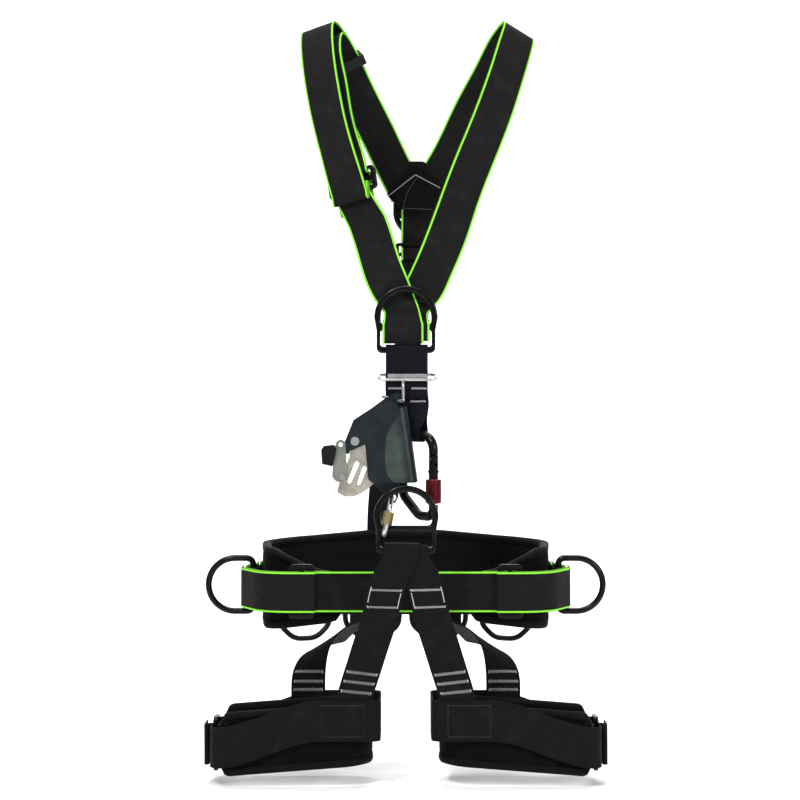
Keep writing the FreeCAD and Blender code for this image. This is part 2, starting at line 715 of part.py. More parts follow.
def shoulder_right():
    """One strap from the chest ring over the shoulder to the back plate."""
    run = [(Vector(3.4, -4.2, 198.5), Vector(42, 0, 0)),
           (Vector(3.8, 0.8, 203.5), Vector(40, 0, -1)),
           (Vector(4.8, 7.0, 209), Vector(39, 0, -3)),
           (Vector(9.5, 12.0, 217), Vector(40, 0, -7)),
           (Vector(19.5, 14.6, 234), Vector(41.5, 1, -14)),
           (Vector(27, 15.6, 250), Vector(41, 3, -15)),
           (Vector(43.7, 19, 290), Vector(41, 9, -15)),
           (Vector(61.2, 26, 339.6), Vector(40, 12, -14)),
           (Vector(76.8, 36, 379.8), Vector(40, 12, -14)),
           (Vector(93.2, 50, 421), Vector(39, 13, -15)),
           (Vector(112.4, 70, 477), Vector(36, 13, -20)),
           (Vector(122.5, 84, 510), Vector(35, 9, -21)),
           (Vector(126, 99, 528), Vector(34, 4, -20)),
           (Vector(116, 114, 518), Vector(35, -4, -22)),
           (Vector(99.5, 131, 488), Vector(37, -8, -21)),
           (Vector(76.5, 153, 447), Vector(38, -8, -20)),
           (Vector(53.7, 171, 401), Vector(38, -6, -20)),
           (Vector(33, 182, 366), Vector(38, -3, -20)),
           (Vector(20, 185.5, 343), Vector(40, 0, -17))]
    return ribbon(crossbar_loop(3.2, 0) + smooth_stations(run, 54))


def shoulder_frame():
    """Directions of the left shoulder adjuster: along the strap, outward, across."""
    across = Vector(0.88, -0.42, 0.22).normalize()
    along = Vector(0.30, -0.28, -0.90)
    along = (along - across * along.dot(across)).normalize()
    return along, along.cross(across), across


def shoulder_left_upper():
    """From the back plate over the shoulder to the adjuster; its tail folds back over the top."""
    along, outward, across = shoulder_frame()
    main = [(Vector(4, 179.2, 352), Vector(40, 1, 18)),
            (Vector(-12.2, 175, 381), Vector(38, 3, 18)),
            (Vector(-31.7, 163, 419.8), Vector(38, 5, 18)),
            (Vector(-53, 143, 460), Vector(38, 6, 18)),
            (Vector(-75, 120, 503), Vector(37, 2, 18)),
            (Vector(-87, 104, 519), Vector(36, -4, 15)),
            (Vector(-90, 92, 505), Vector(36, -10, 15)),
            (Vector(-84, 80, 465), Vector(36.5, -17, 14)),
            (Vector(-76, 68, 420), Vector(37, -21, 10)),
            (Vector(-66, 57, 382), across * WEB_WIDTH)]
    points, radii = running_route(24.0)
    bend = flat_stations(SHOULDER_ADJUSTER, along, outward, across * WEB_WIDTH,
                         [(-16, OVER_RAIL)] + points + [(16, FOLD_OUTER)], radii)
    tail = [(Vector(-67.5, 37.0, 359), Vector(38, -19.5, 9.5)),
            (Vector(-73.5, 41.5, 380), Vector(37, -21, 9)),
            (Vector(-83, 54, 415), Vector(36.5, -21, 9)),
            (Vector(-94, 70, 470), Vector(36.5, -17, 13)),
            (Vector(-98.5, 84, 506), Vector(36.5, -11, 15)),
            (Vector(-97, 102, 532), Vector(37, -4, 13)),
            (Vector(-84, 120, 517), Vector(37, 2, 18)),
            (Vector(-62, 142.5, 474), Vector(38, 6, 18)),
            (Vector(-50, 154, 452), Vector(38, 6, 18))]
    return ribbon(smooth_stations(main, 34) + bend + smooth_stations(tail, 26))


def shoulder_left_lower():
    """From the adjuster down to the chest ring, in front of the right strap."""
    along, outward, across = shoulder_frame()
    points, radii = fixed_route(34.0)
    top = flat_stations(SHOULDER_ADJUSTER, along, outward, across * WEB_WIDTH, points, radii)
    run = [(Vector(-42, 31.5, 308), Vector(41, -12, 13)),
           (Vector(-35.2, 26, 288), Vector(41, -9, 14)),
           (Vector(-27.5, 17.0, 261.5), Vector(41.5, -4, 14)),
           (Vector(-17.5, 10.6, 236), Vector(42, -1, 13)),
           (Vector(-9.0, 7.8, 219), Vector(40, 0, 7)),
           (Vector(-4.8, 2.1, 210.5), Vector(38.5, 0, 3)),
           (Vector(-3.8, -4.0, 204), Vector(40, 0, 1)),
           (Vector(-3.4, -7.2, 198.5), Vector(42, 0, 0))]
    return ribbon(top + smooth_stations(run, 24) + crossbar_loop(-3.2, 1)[::-1])


def strap_keeper():
    """A moulded loop that holds the left strap and its tail on the back of the shoulder."""
    centre = Vector(-72.5, 131, 493)
    across = Vector(37.5, 4, 19.5).normalize()
    along = Vector(0.42, 0.50, -0.76)
    along = (along - across * along.dot(across)).normalize()
    outward = along.cross(across)
    half_length, half_width, half_depth, wall = 6.0, 24.5, 8.6, 2.0

    def block(width, depth, length):
        low = centre - across * width - outward * depth - along * length
        corners = [low, low + across * (2 * width), low + across * (2 * width) + outward * (2 * depth),
                   low + outward * (2 * depth)]
        return prism(corners, along * (2 * length))

    outer = block(half_width + wall, half_depth + wall, half_length)
    return outer.cut(block(half_width, half_depth, half_length + 1))


def chest_strap():
    """A sewn loop from the foot bar of the chest ring to the top bow of the carabiner."""
    bar_z = CHEST_RING_Z + (SLOT_FLOOR_Z + RING_FLOOR_Z) / 2
    around = RING_THICK / 2 + LAYER_GAP + WEB_THICK / 2
    over = bar_z + 3.5 + LAYER_GAP + WEB_THICK / 2
    wide = X * (WEB_WIDTH + 1)
    narrow = CARABINER_ALONG * 15.0
    top = flat_stations(Vector(0.8, 0, 0), Z, -Y, wide,
                        [(116, 3.8), (150, 3.8), (bar_z - 6, around), (over, around),
                         (over, -around), (bar_z - 6, -around), (146, -1.6), (128, -1.6)],
                        [20, 20, 2.2, 2.2, 20, 20])
    bow = CARABINER_CENTRE + Z * 77.0
    loop_radius = BAR + LAYER_GAP + WEB_THICK / 2
    rear = [(Vector(1.0, 1.8, 122), wide), (Vector(3.5, 3.4, 108), Vector(42, -5, 0)),
            (Vector(10.5, 5.0, 95), Vector(24, -19, 0)),
            (bow + CARABINER_ACROSS * (loop_radius + 0.4) + Z * 5, narrow)]
    loop = []
    for step in range(9):
        angle = math.pi * step / 8
        spoke = CARABINER_ACROSS * math.cos(angle) - Z * math.sin(angle)
        loop.append((bow + spoke * loop_radius, narrow))
    front = [(bow - CARABINER_ACROSS * (loop_radius + 0.4) + Z * 5, narrow),
             (Vector(5.5, -4.0, 94), Vector(28, -14, 0)),
             (Vector(2.2, -1.6, 106), Vector(42, -3, 0)),
             (Vector(0.8, -1.1, 118), wide), (Vector(0.8, -1.1, 148), wide)]
    return ribbon(top + smooth_stations(rear, 8) + loop + smooth_stations(front, 10))


def back_pad():
    """Soft plate on the body side, where the shoulder straps cross."""
    outline = [(-24, 352), (-6, 372), (3, 391), (22, 391), (38, 371), (42, 357), (32, 331), (-5, 333)]
    return prism([flat_point(x, z, 168.0) for x, z in outline], Y * 6.0)


def back_plate():
    """Stiff plate behind the crossing, with the knuckle that carries the back ring."""
    plate = box(Vector(-12, 192.3, 326), Vector(42, 195.3, 374))
    upright = [e for e in plate.Edges if abs(e.Vertexes[0].Y - e.Vertexes[-1].Y) > 2]
    plate = plate.makeFillet(8.0, upright)
    knuckle = Part.makeCylinder(6.2, 26, BACK_RING_AXIS - X * 13, X)
    web = box(Vector(2, 194.0, 344), Vector(28, 199.0, 356))
    hole = Part.makeCylinder(RING_WIRE + 0.4, 26, BACK_RING_AXIS - X * 13, X)
    return plate.fuse(knuckle).fuse(web).cut(hole).removeSplitter()


def back_strap_upper():
    """From the back plate down through the back adjuster."""
    width = X * WEB_WIDTH
    points, radii = running_route(20.0)
    route = flat_stations(BACK_ADJUSTER, -Z, Y, width,
                          [(-62, -0.6), (-40, -0.6), (-18, OVER_RAIL)] + points + [(2.0, FOLD_OUTER)],
                          [20, 20] + radii)
    return ribbon(route)


def back_strap_lower():
    """From the back adjuster down to the outside of the waist pad."""
    points, radii = fixed_route(30.0)
    top = flat_stations(BACK_ADJUSTER, -Z, Y, X * WEB_WIDTH, points, radii)
    back = PAD_BACK_Y + PAD_HALF + 0.5 + WEB_THICK / 2
    run = [(Vector(16, 194.5, 254), Vector(44, 0, 2)), (Vector(11, 195.5, 225), Vector(38, 0, 4)),
           (Vector(-3, 198, 150), Vector(29, 0, 5)), (Vector(-20, 202, 70), Vector(27, 0, 5)),
           (Vector(-29, 205.5, 10), Vector(27, 0, 2)), (Vector(-31, back, -34), Vector(28, 0, 0)),
           (Vector(-31, back, -66), Vector(28, 0, 0))]
    return ribbon(top + smooth_stations(run, 20))


def upper_body():
    """Everything from the chest ring up, and the straps of the back."""
    along, outward, _ = shoulder_frame()
    return {"chest_ring": forged_ring(Z * CHEST_RING_Z),
            "shoulder_strap_right": shoulder_right(),
            "shoulder_strap_left_upper": shoulder_left_upper(),
            "shoulder_strap_left_lower": shoulder_left_lower(),
            "shoulder_adjuster": adjuster_frame(SHOULDER_ADJUSTER, along, outward),
            "shoulder_adjuster_bar": adjuster_bar(SHOULDER_ADJUSTER, along, outward),
            "shoulder_keeper": strap_keeper(),
            "chest_strap": chest_strap(),
            "back_pad": back_pad(),
            "back_plate": back_plate(),
            "back_ring": d_ring(BACK_RING_AXIS, 16.0, 26.0, X, -Z),
            "back_adjuster": adjuster_frame(BACK_ADJUSTER, -Z, Y),
            "back_adjuster_bar": adjuster_bar(BACK_ADJUSTER, -Z, Y),
            "back_strap_upper": back_strap_upper(),
            "back_strap_lower": back_strap_lower()}


# ---------------------------------------------------------------- ascender

def ascender_frame():
    """A back plate and a front cheek, joined down one side by the rounded rope channel."""
    back_front = BACK_PLATE_Y - PLATE_THICK
    cheek_front = back_front - CHANNEL_DEPTH - PLATE_THICK
    back_outline = [(-9, 123), (-2, 116), (1, 104), (7.6, 66), (12.4, 28), (10, 26.4), (-7.6, 26),
                    (-8, 12), (-11, 5.6), (-15, 3.6), (-19, 5.6), (-22, 11), (-29, 20), (-35.6, 24.4),
                    (-40, 29), (-43, 60), (-70, 56), (-67, 65), (-56, 93.3), (-38, 105), (-22, 116.6)]
    back = prism([flat_point(x, z, BACK_PLATE_Y) for x, z in back_outline], -Y * PLATE_THICK)
    cheek_outline = [(CHANNEL_HIGH.x, CHANNEL_HIGH.z), (CHANNEL_LOW.x, CHANNEL_LOW.z), (-36, 27), (-40, 31),
                     (-43, 67.5), (-69, 56.5), (-67, 65), (-56, 92.3), (-38, 104), (-23, 114.5), (-14, 113)]
    cheek = prism([flat_point(x, z, cheek_front) for x, z in cheek_outline], Y * PLATE_THICK)
    bend = CHANNEL_DEPTH / 2
    run = CHANNEL_HIGH - CHANNEL_LOW
    low = CHANNEL_LOW + Y * (back_front - bend)
    channel = Part.makeCylinder(bend + PLATE_THICK, run.Length, low, run)
    channel = channel.cut(Part.makeCylinder(bend, run.Length, low, run))
    across = Vector(-run.z, 0, run.x).normalize() * 20
    ends = [CHANNEL_LOW - run, CHANNEL_LOW - run + across, CHANNEL_HIGH + run + across, CHANNEL_HIGH + run]
    channel = channel.cut(prism([p - Y * 60 for p in ends], Y * 70))
    frame = back.fuse(cheek).fuse(channel).removeSplitter()
    for hole, radius in ((TOP_HOLE, TOP_HOLE_RADIUS), (LINK_HOLE, LINK_HOLE_RADIUS)):
        frame = frame.cut(Part.makeCylinder(radius, 40, hole - Y * 14, Y))
    return frame.cut(Part.makeCylinder(CAM_PIN + 0.05, 60, CAM_PIVOT - Y * 45, Y))


def cam():
    """Toothed eccentric cam: its toothed edge grows away from the pivot."""
    pivot = CAM_PIVOT
    tip_angle, end_angle = -26.0, -100.0
    rim = []
    teeth = 22
    for i in range(teeth * 2 + 1):
        t = i / (teeth * 2)
        angle = math.radians(tip_angle + (end_angle - tip_angle) * t)
        radius = 43.5 + 16.5 * smoothstep((t - 0.25) / 0.75) - (1.1 if i % 2 else 0.0)
        rim.append(Vector(pivot.x + radius * math.cos(angle), 0, pivot.z + radius * math.sin(angle)))
    outline = rim + [Vector(-73, 0, 17), Vector(-70, 0, 30), Vector(-59.5, 0, 55)]
    for angle in (215, 180, 145, 110, 75, 40):
        spoke = math.radians(angle)
        outline.append(Vector(pivot.x + 9 * math.cos(spoke), 0, pivot.z + 9 * math.sin(spoke)))
    body = prism([p + Y * CAM_FRONT_Y for p in outline], Y * (CAM_BACK_Y - CAM_FRONT_Y))
    for start, end, width in (((-52, 47), (-60, 28), 2.4), ((-44, 42), (-50, 26), 2.2),
                              ((-36, 44), (-39, 36), 2.0)):
        a = Vector(start[0], CAM_FRONT_Y - 1, start[1])
        b = Vector(end[0], CAM_FRONT_Y - 1, end[1])
        slot = Part.Face(tapered_outline(a, width, b, width * 0.8, Y)).extrude(Y * 20)
        body = body.cut(slot)
    body = body.cut(Part.makeCylinder(CAM_PIN + 0.05, 20, pivot + Y * (CAM_FRONT_Y - 2), Y))
    return body.cut(Part.makeCylinder(CATCH_PIN + 0.05, 20, CATCH_PIVOT + Y * (CAM_FRONT_Y - 2), Y))


def cam_rivet():
    """Headed pin through both plates and the cam."""
    front = BACK_PLATE_Y - 2 * PLATE_THICK - CHANNEL_DEPTH
    shank = Part.makeCylinder(CAM_PIN, BACK_PLATE_Y - front + 1.2, CAM_PIVOT + Y * front, Y)
    heads = [Part.makeCylinder(4.6, 1.2, CAM_PIVOT + Y * (front - 1.2), Y),
             Part.makeCylinder(4.6, 1.2, CAM_PIVOT + Y * BACK_PLATE_Y, Y)]
    return shank.multiFuse(heads).removeSplitter()


def cam_spring():
    """Flat coil round the rivet, between the cam and the back plate, with one leg."""
    depth = BACK_PLATE_Y - PLATE_THICK - 0.3 - (CAM_BACK_Y + 0.3)
    start = CAM_PIVOT + Y * (CAM_BACK_Y + 0.3)
    coil = Part.makeCylinder(6.4, depth, start, Y).cut(Part.makeCylinder(4.4, depth, start, Y))
    groove = depth / 3
    for turn in (1, 2):
        ring = Part.makeCylinder(7.0, 0.3, start + Y * (groove * turn - 0.15), Y)
        coil = coil.cut(ring.cut(Part.makeCylinder(5.9, 0.3, start + Y * (groove * turn - 0.15), Y)))
    leg = box(Vector(CAM_PIVOT.x - 6.2, start.y, CAM_PIVOT.z - 1),
              Vector(CAM_PIVOT.x - 4.6, start.y + 1.2, CAM_PIVOT.z + 13))
    return coil.fuse(leg).removeSplitter()


def catch():
    """Flat safety catch on the cam, with a hole for a release cord."""
    foot = Vector(-70.0, CATCH_FRONT_Y, 36.0)
    head = Vector(CATCH_HEAD.x, CATCH_FRONT_Y, CATCH_HEAD.z)
    body = Part.Face(tapered_outline(foot, 8.0, head, 5.2, Y)).extrude(Y * CATCH_THICK)
    body = body.cut(Part.makeCylinder(CATCH_PIN, 20, CATCH_PIVOT + Y * (CATCH_FRONT_Y - 5), Y))
    return body.cut(Part.makeCylinder(CORD_HOLE_RADIUS, 20, head - Y * 5, Y))


def catch_grip():
    """Rounded thumb grip on the front of the catch, standing out past its edge."""
    back = CATCH_FRONT_Y
    corners = [(-88.5, 47), (-77, 44.5), (-73, 63), (-75.5, 67.5), (-86.5, 66.5), (-89.5, 62)]
    grip = prism([flat_point(x, z, back) for x, z in corners], -Y * 5.5)
    return grip.makeFillet(1.6, grip.Edges)


def catch_pin():
    """Headed pin that holds the catch on the cam."""
    shank = Part.makeCylinder(CATCH_PIN, CAM_BACK_Y - CATCH_FRONT_Y, CATCH_PIVOT + Y * CATCH_FRONT_Y, Y)
    head = Part.makeCylinder(3.2, 1.2, CATCH_PIVOT + Y * (CATCH_FRONT_Y - 1.2), Y)
    return shank.fuse(head).removeSplitter()


def hanger():
    """Wire oval round the chest strap, leaning down to the front, with a hook into the top hole."""
    front, back, left, right = -7.2, 7.8, -29.0, 32.0
    low, high, near = HANGER_Z, HANGER_Z + 6.0, -16.5
    middle = Vector(0, back, high)
    corners = [middle, Vector(left, back, high), Vector(left, front, low), Vector(right, front, low),
               Vector(right, back, high), middle]
    oval = tube(corners, [6.5] * 4, HANGER_WIRE)
    hook_x = TOP_HOLE.x + 1.0
    hook = tube([Vector(hook_x, front, low), Vector(hook_x, near, low - 6.5),
                 Vector(hook_x, near, TOP_HOLE.z),
                 Vector(hook_x, -7.4, TOP_HOLE.z), Vector(-26, -7.4, 118.5)],
                [3.5, 3.0, 3.0], HANGER_WIRE)
    return oval.fuse(hook).removeSplitter()


def hanger_bar():
    """Flat keeper bar across the front of the chest strap, just above the wire."""
    bar = box(Vector(-19.5, -7.6, 138.3), Vector(22.5, -5.9, 142.3))
    return bar.makeFillet(0.5, bar.Edges)


def link_point(y, z):
    """A point in the leaning plane of the link."""
    t = (z - LINK_FOOT.z) / (LINK_HEAD.z - LINK_FOOT.z)
    return LINK_FOOT + (LINK_HEAD - LINK_FOOT) * t + Y * y


def quick_link():
    """Steel link: through the lower hole of the ascender, forward through the eye, round the crossbar."""
    start = link_point(LINK_FRONT_Y, -8.0)
    corners = [start, link_point(LINK_FRONT_Y, LINK_FOOT.z), link_point(LINK_BACK_Y, LINK_FOOT.z),
               link_point(LINK_BACK_Y, -14.0), link_point(LINK_NECK_Y, 1.0),
               link_point(LINK_NECK_Y, LINK_HEAD.z), link_point(LINK_NECK_Y - 11.0, LINK_HEAD.z),
               link_point(LINK_FRONT_Y, 3.0), start]
    return tube(corners, [6, 6, 5, 5, 5.3, 8, 5.3], LINK_WIRE)


def link_nut():
    """Hexagonal sleeve nut on the front leg of the link."""
    direction = (LINK_HEAD - LINK_FOOT).normalize()
    centre = LINK_FOOT + direction * 18.0 + Y * LINK_FRONT_Y
    side = direction.cross(Y)
    corners = []
    for i in range(6):
        angle = math.radians(60 * i)
        corners.append(centre - direction * 6.5 + (side * math.cos(angle) + Y * math.sin(angle)) * 5.8)
    nut = prism(corners, direction * 13.0)
    return nut.cut(Part.makeCylinder(LINK_WIRE + 0.02, 40, centre - direction * 20, direction))


# ---------------------------------------------------------------- carabiner

def carabiner_point(u, z, m=0.0):
    """A point by its distance along the carabiner's plane, its height and its distance off it."""
    return CARABINER_CENTRE + CARABINER_ALONG * u + CARABINER_ACROSS * m + Z * z


def carabiner_body():
    """Round-bar body from the hinge tongue over the bow and round to the nose."""
    corners = [carabiner_point(u, z) for u, z in
               ((LIMB, 57.5), (LIMB, 77), (-LIMB, 77), (-LIMB, 13), (2, -9), (LIMB, -9), (LIMB, 3.5))]
    body = tube(corners, [16, 16, 12, 14, 9], BAR)
    tongue = block_at(LIMB, 4.4, 2.0, 47.5, 58.5)
    pin = Part.makeCylinder(1.5, 20, carabiner_point(LIMB, GATE_HINGE_Z, -10), CARABINER_ACROSS)
    return body.fuse(tongue).removeSplitter().cut(pin)


def block_at(u, half_u, half_m, low, high):
    """A box in the carabiner's own directions."""
    corners = [carabiner_point(u + a * half_u, low, b * half_m)
               for a, b in ((-1, -1), (1, -1), (1, 1), (-1, 1))]
    return prism(corners, Z * (high - low))


def gate():
    """Straight gate, slotted over the tongue at its hinge."""
    top = GATE_HINGE_Z + 3.5
    body = Part.makeCylinder(BAR, top - GATE_FOOT_Z, carabiner_point(LIMB, GATE_FOOT_Z), Z)
    collar = Part.makeCylinder(BAR + 0.9, 2.2, carabiner_point(LIMB, 37.6), Z)
    body = body.fuse(collar).removeSplitter()
    body = body.cut(block_at(LIMB, 8, 2.3, GATE_HINGE_Z - 7.5, top + 1))
    return body.cut(Part.makeCylinder(1.56, 20, carabiner_point(LIMB, GATE_HINGE_Z, -10), CARABINER_ACROSS))


def gate_sleeve():
    """Screw sleeve on the lower half of the gate, with grip grooves."""
    low, high, outer = 5.0, 30.5, 8.4
    foot = carabiner_point(LIMB, low)
    sleeve = Part.makeCylinder(outer, high - low, foot, Z)
    ends = [e for e in sleeve.Edges if e.Closed]
    sleeve = sleeve.makeFillet(1.2, ends)
    for i in range(12):
        angle = math.radians(30 * i)
        spoke = Vector(math.cos(angle), math.sin(angle), 0)
        sleeve = sleeve.cut(Part.makeCylinder(0.9, 17, foot + spoke * (outer + 0.3) + Z * 4.2, Z))
    return sleeve.cut(Part.makeCylinder(BAR + 0.2, 40, foot - Z * 5, Z))


def gate_pin():
    """Hinge pin, flush with the gate."""
    return Part.makeCylinder(1.5, 9.4, carabiner_point(LIMB, GATE_HINGE_Z, -4.7), CARABINER_ACROSS)


def chest_group():
    """Ascender, its hanger and link, and the carabiner."""
    return {"belly_ring": forged_ring(-Y * RING_LEAD),
            "ascender_frame": ascender_frame(), "ascender_cam": cam(), "cam_rivet": cam_rivet(),
            "cam_spring": cam_spring(), "catch": catch(), "catch_grip": catch_grip(),
            "catch_pin": catch_pin(), "hanger_wire": hanger(), "hanger_bar": hanger_bar(),
            "quick_link": quick_link(), "link_nut": link_nut(),
            "carabiner_body": carabiner_body(), "carabiner_gate": gate(),
            "carabiner_sleeve": gate_sleeve(), "gate_pin": gate_pin()}


def main():
    os.makedirs("parts", exist_ok=True)
    parts = {}
    for group in (waist, legs, upper_body, chest_group):
        parts.update(group())
    for name, shape in parts.items():
        shape.translated(Y * RING_LEAD).exportStep(os.path.join("parts", name + ".step"))
    return parts


main()
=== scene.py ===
import math

import bmesh
import bpy
import numpy as np
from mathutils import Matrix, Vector


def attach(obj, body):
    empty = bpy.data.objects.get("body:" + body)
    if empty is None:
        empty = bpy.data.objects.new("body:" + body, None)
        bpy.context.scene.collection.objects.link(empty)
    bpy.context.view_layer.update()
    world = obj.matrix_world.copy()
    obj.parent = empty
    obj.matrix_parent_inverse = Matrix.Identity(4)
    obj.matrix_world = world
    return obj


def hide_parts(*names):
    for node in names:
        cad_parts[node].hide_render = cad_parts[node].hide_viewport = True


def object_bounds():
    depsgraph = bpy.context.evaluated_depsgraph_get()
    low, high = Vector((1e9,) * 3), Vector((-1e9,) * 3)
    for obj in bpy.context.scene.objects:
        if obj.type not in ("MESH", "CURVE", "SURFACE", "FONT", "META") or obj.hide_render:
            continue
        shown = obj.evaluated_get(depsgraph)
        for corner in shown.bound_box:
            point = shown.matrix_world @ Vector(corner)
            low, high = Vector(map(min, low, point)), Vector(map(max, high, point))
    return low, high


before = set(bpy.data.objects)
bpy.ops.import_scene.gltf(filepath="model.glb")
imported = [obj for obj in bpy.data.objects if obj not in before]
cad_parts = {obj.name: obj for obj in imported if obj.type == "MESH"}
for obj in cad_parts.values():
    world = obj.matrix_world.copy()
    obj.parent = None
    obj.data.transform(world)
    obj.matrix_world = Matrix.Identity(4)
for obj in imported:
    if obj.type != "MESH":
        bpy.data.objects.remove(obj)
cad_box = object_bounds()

# Lengths are in millimetres until a mesh is made.
MM = 0.001
ROOT = "harness"
# Everything is laid out from the belt; the frame's origin is on the belly ring, this far in front.
RING_LEAD = 44.5
X = np.array([1.0, 0, 0])
Y = np.array([0, 1.0, 0])
Z = np.array([0, 0, 1.0])


def vec(*values):
    return np.array(values, float)


def unit(v):
    return v / np.linalg.norm(v)


# ------------------------------------------------------------ shader building

class Shader:
    """A material and short calls for its nodes."""

    def __init__(self, name):
        self.material = bpy.data.materials.new(name)
        self.material.use_nodes = True
        self.tree = self.material.node_tree
        self.tree.nodes.clear()
        self.output = self.tree.nodes.new("ShaderNodeOutputMaterial")
        self.bsdf = self.tree.nodes.new("ShaderNodeBsdfPrincipled")
        self.tree.links.new(self.bsdf.outputs[0], self.output.inputs[0])

    def put(self, socket, value):
        if isinstance(value, bpy.types.NodeSocket):
            self.tree.links.new(value, socket)
        else:
            socket.default_value = value

    def set(self, **values):
        """Constants and links on the surface shader, by socket name."""
        for key, value in values.items():
            self.put(self.bsdf.inputs[key.replace("_", " ").title().replace("Ior", "IOR")], value)

    def math(self, operation, a, b=0.0, c=0.0, clamp=False):
        node = self.tree.nodes.new("ShaderNodeMath")
        node.operation = operation
        node.use_clamp = clamp
        for socket, value in zip(node.inputs, (a, b, c)):
            self.put(socket, value)
        return node.outputs[0]

    def plus(self, a, b, clamp=False):
        return self.math("ADD", a, b, clamp=clamp)

    def minus(self, a, b):
        return self.math("SUBTRACT", a, b)

    def times(self, a, b, clamp=False):
        return self.math("MULTIPLY", a, b, clamp=clamp)

    def over(self, a, b):
        return self.math("DIVIDE", a, b)

    def size(self, a):
        return self.math("ABSOLUTE", a)

    def sine(self, a):
        return self.math("SINE", a)

    def ramp(self, value, low, high, out_low=0.0, out_high=1.0):
        """Smooth step from out_low to out_high."""
        node = self.tree.nodes.new("ShaderNodeMapRange")
        node.interpolation_type = "SMOOTHSTEP"
        for socket, number in zip(node.inputs, (value, low, high, out_low, out_high)):
            self.put(socket, number)
        return node.outputs[0]

    def mix(self, factor, a, b):
        node = self.tree.nodes.new("ShaderNodeMix")
        node.data_type = "RGBA"
        for socket, value in zip((node.inputs[0], node.inputs[6], node.inputs[7]), (factor, a, b)):
            self.put(socket, value)
        return node.outputs[2]

    def uv(self):
        """Across and along a piece, in millimetres."""
        node = self.tree.nodes.new("ShaderNodeUVMap")
        split = self.tree.nodes.new("ShaderNodeSeparateXYZ")
        self.tree.links.new(node.outputs[0], split.inputs[0])
        return [self.math("MULTIPLY", split.outputs[i], 100.0) for i in (0, 1)]

    def place(self):
        """Position on the piece, in millimetres."""
        node = self.tree.nodes.new("ShaderNodeTexCoord")
        scale = self.tree.nodes.new("ShaderNodeVectorMath")
        scale.operation = "SCALE"
        self.tree.links.new(node.outputs["Object"], scale.inputs[0])
        scale.inputs[3].default_value = 1000.0
        return scale.outputs[0]

    def split(self, vector):
        node = self.tree.nodes.new("ShaderNodeSeparateXYZ")
        self.tree.links.new(vector, node.inputs[0])
        return node.outputs[:3]

    def join(self, x, y, z=0.0):
        node = self.tree.nodes.new("ShaderNodeCombineXYZ")
        for socket, value in zip(node.inputs, (x, y, z)):
            self.put(socket, value)
        return node.outputs[0]

    def noise(self, vector, scale, detail=2.0, rough=0.5):
        node = self.tree.nodes.new("ShaderNodeTexNoise")
        self.put(node.inputs["Vector"], vector)
        node.inputs["Scale"].default_value = scale
        node.inputs["Detail"].default_value = detail
        node.inputs["Roughness"].default_value = rough
        return node.outputs[0]

    def bump(self, height, distance, strength=1.0):
        """Height is in units of distance, which is in metres."""
        node = self.tree.nodes.new("ShaderNodeBump")
        node.inputs["Strength"].default_value = strength
        node.inputs["Distance"].default_value = distance
        self.put(node.inputs["Height"], height)
        self.tree.links.new(node.outputs[0], self.bsdf.inputs["Normal"])


def grey(value, tint=(1, 1, 1)):
    return (value * tint[0], value * tint[1], value * tint[2], 1.0)


def webbing(name, half_width, dark, light, edge=None, rib=1.5, pick=1.25, edge_width=2.5):
    """Woven webbing: offset ribs along the strap, coloured with painted shade that is darker in the grooves
    between ribs and yarns and varied by random fuzz, and an edge of coloured yarn where there is one.
    """
    s = Shader(name)
    across, along = s.uv()
    column = s.over(across, rib)
    index = s.math("FLOOR", column)
    fraction = s.math("FRACT", column)
    bulge = s.sine(s.times(fraction, math.pi))
    shift = s.times(s.math("MODULO", s.size(index), 2.0), 0.5)
    lean = s.times(fraction, 0.35)
    phase = s.plus(s.over(along, 2 * pick), s.plus(shift, lean))
    yarn = s.size(s.sine(s.times(phase, math.pi)))
    height = s.times(bulge, s.plus(0.35, s.times(yarn, 0.65)))
    spot = s.join(across, along)
    patch = s.noise(spot, 0.045, 3.0, 0.6)
    fuzz = s.noise(spot, 2.2, 2.0, 0.7)
    # Painted shade: the colour follows the weave's height, so the grooves between ribs and yarns are painted
    # darker; the fuzz noise adds random tone.
    shade = s.times(height, s.plus(0.55, s.times(fuzz, 0.9)), clamp=True)
    colour = s.mix(shade, dark, light)
    colour = s.mix(s.ramp(patch, 0.48, 0.75, 0.0, 0.30), colour, [c * 1.9 for c in light[:3]] + [1])
    if edge:
        inset = s.minus(half_width, s.size(across))
        slant = s.math("FRACT", s.over(s.plus(along, s.times(inset, 0.8)), 1.5))
        thread = s.sine(s.times(slant, math.pi))
        off_line = s.size(s.minus(inset, edge_width * 0.5))
        line = s.ramp(off_line, 0.45, 1.0, 1.0, 0.12)
        green = s.mix(s.times(line, s.plus(0.45, s.times(thread, 0.55))),
                      [c * 0.16 for c in edge[:3]] + [1], edge)
        mask = s.ramp(inset, edge_width - 0.35, edge_width + 0.15, 1.0, 0.0)
        colour = s.mix(mask, colour, green)
        height = s.plus(height, s.times(mask, s.times(thread, 0.5)))
    s.set(base_color=colour, roughness=s.minus(0.86, s.times(shade, 0.2)),
          sheen_weight=0.01, sheen_roughness=0.45, specular_ior_level=0.09)
    s.bump(s.plus(height, s.times(fuzz, 0.4)), 0.00028)
    return s.material


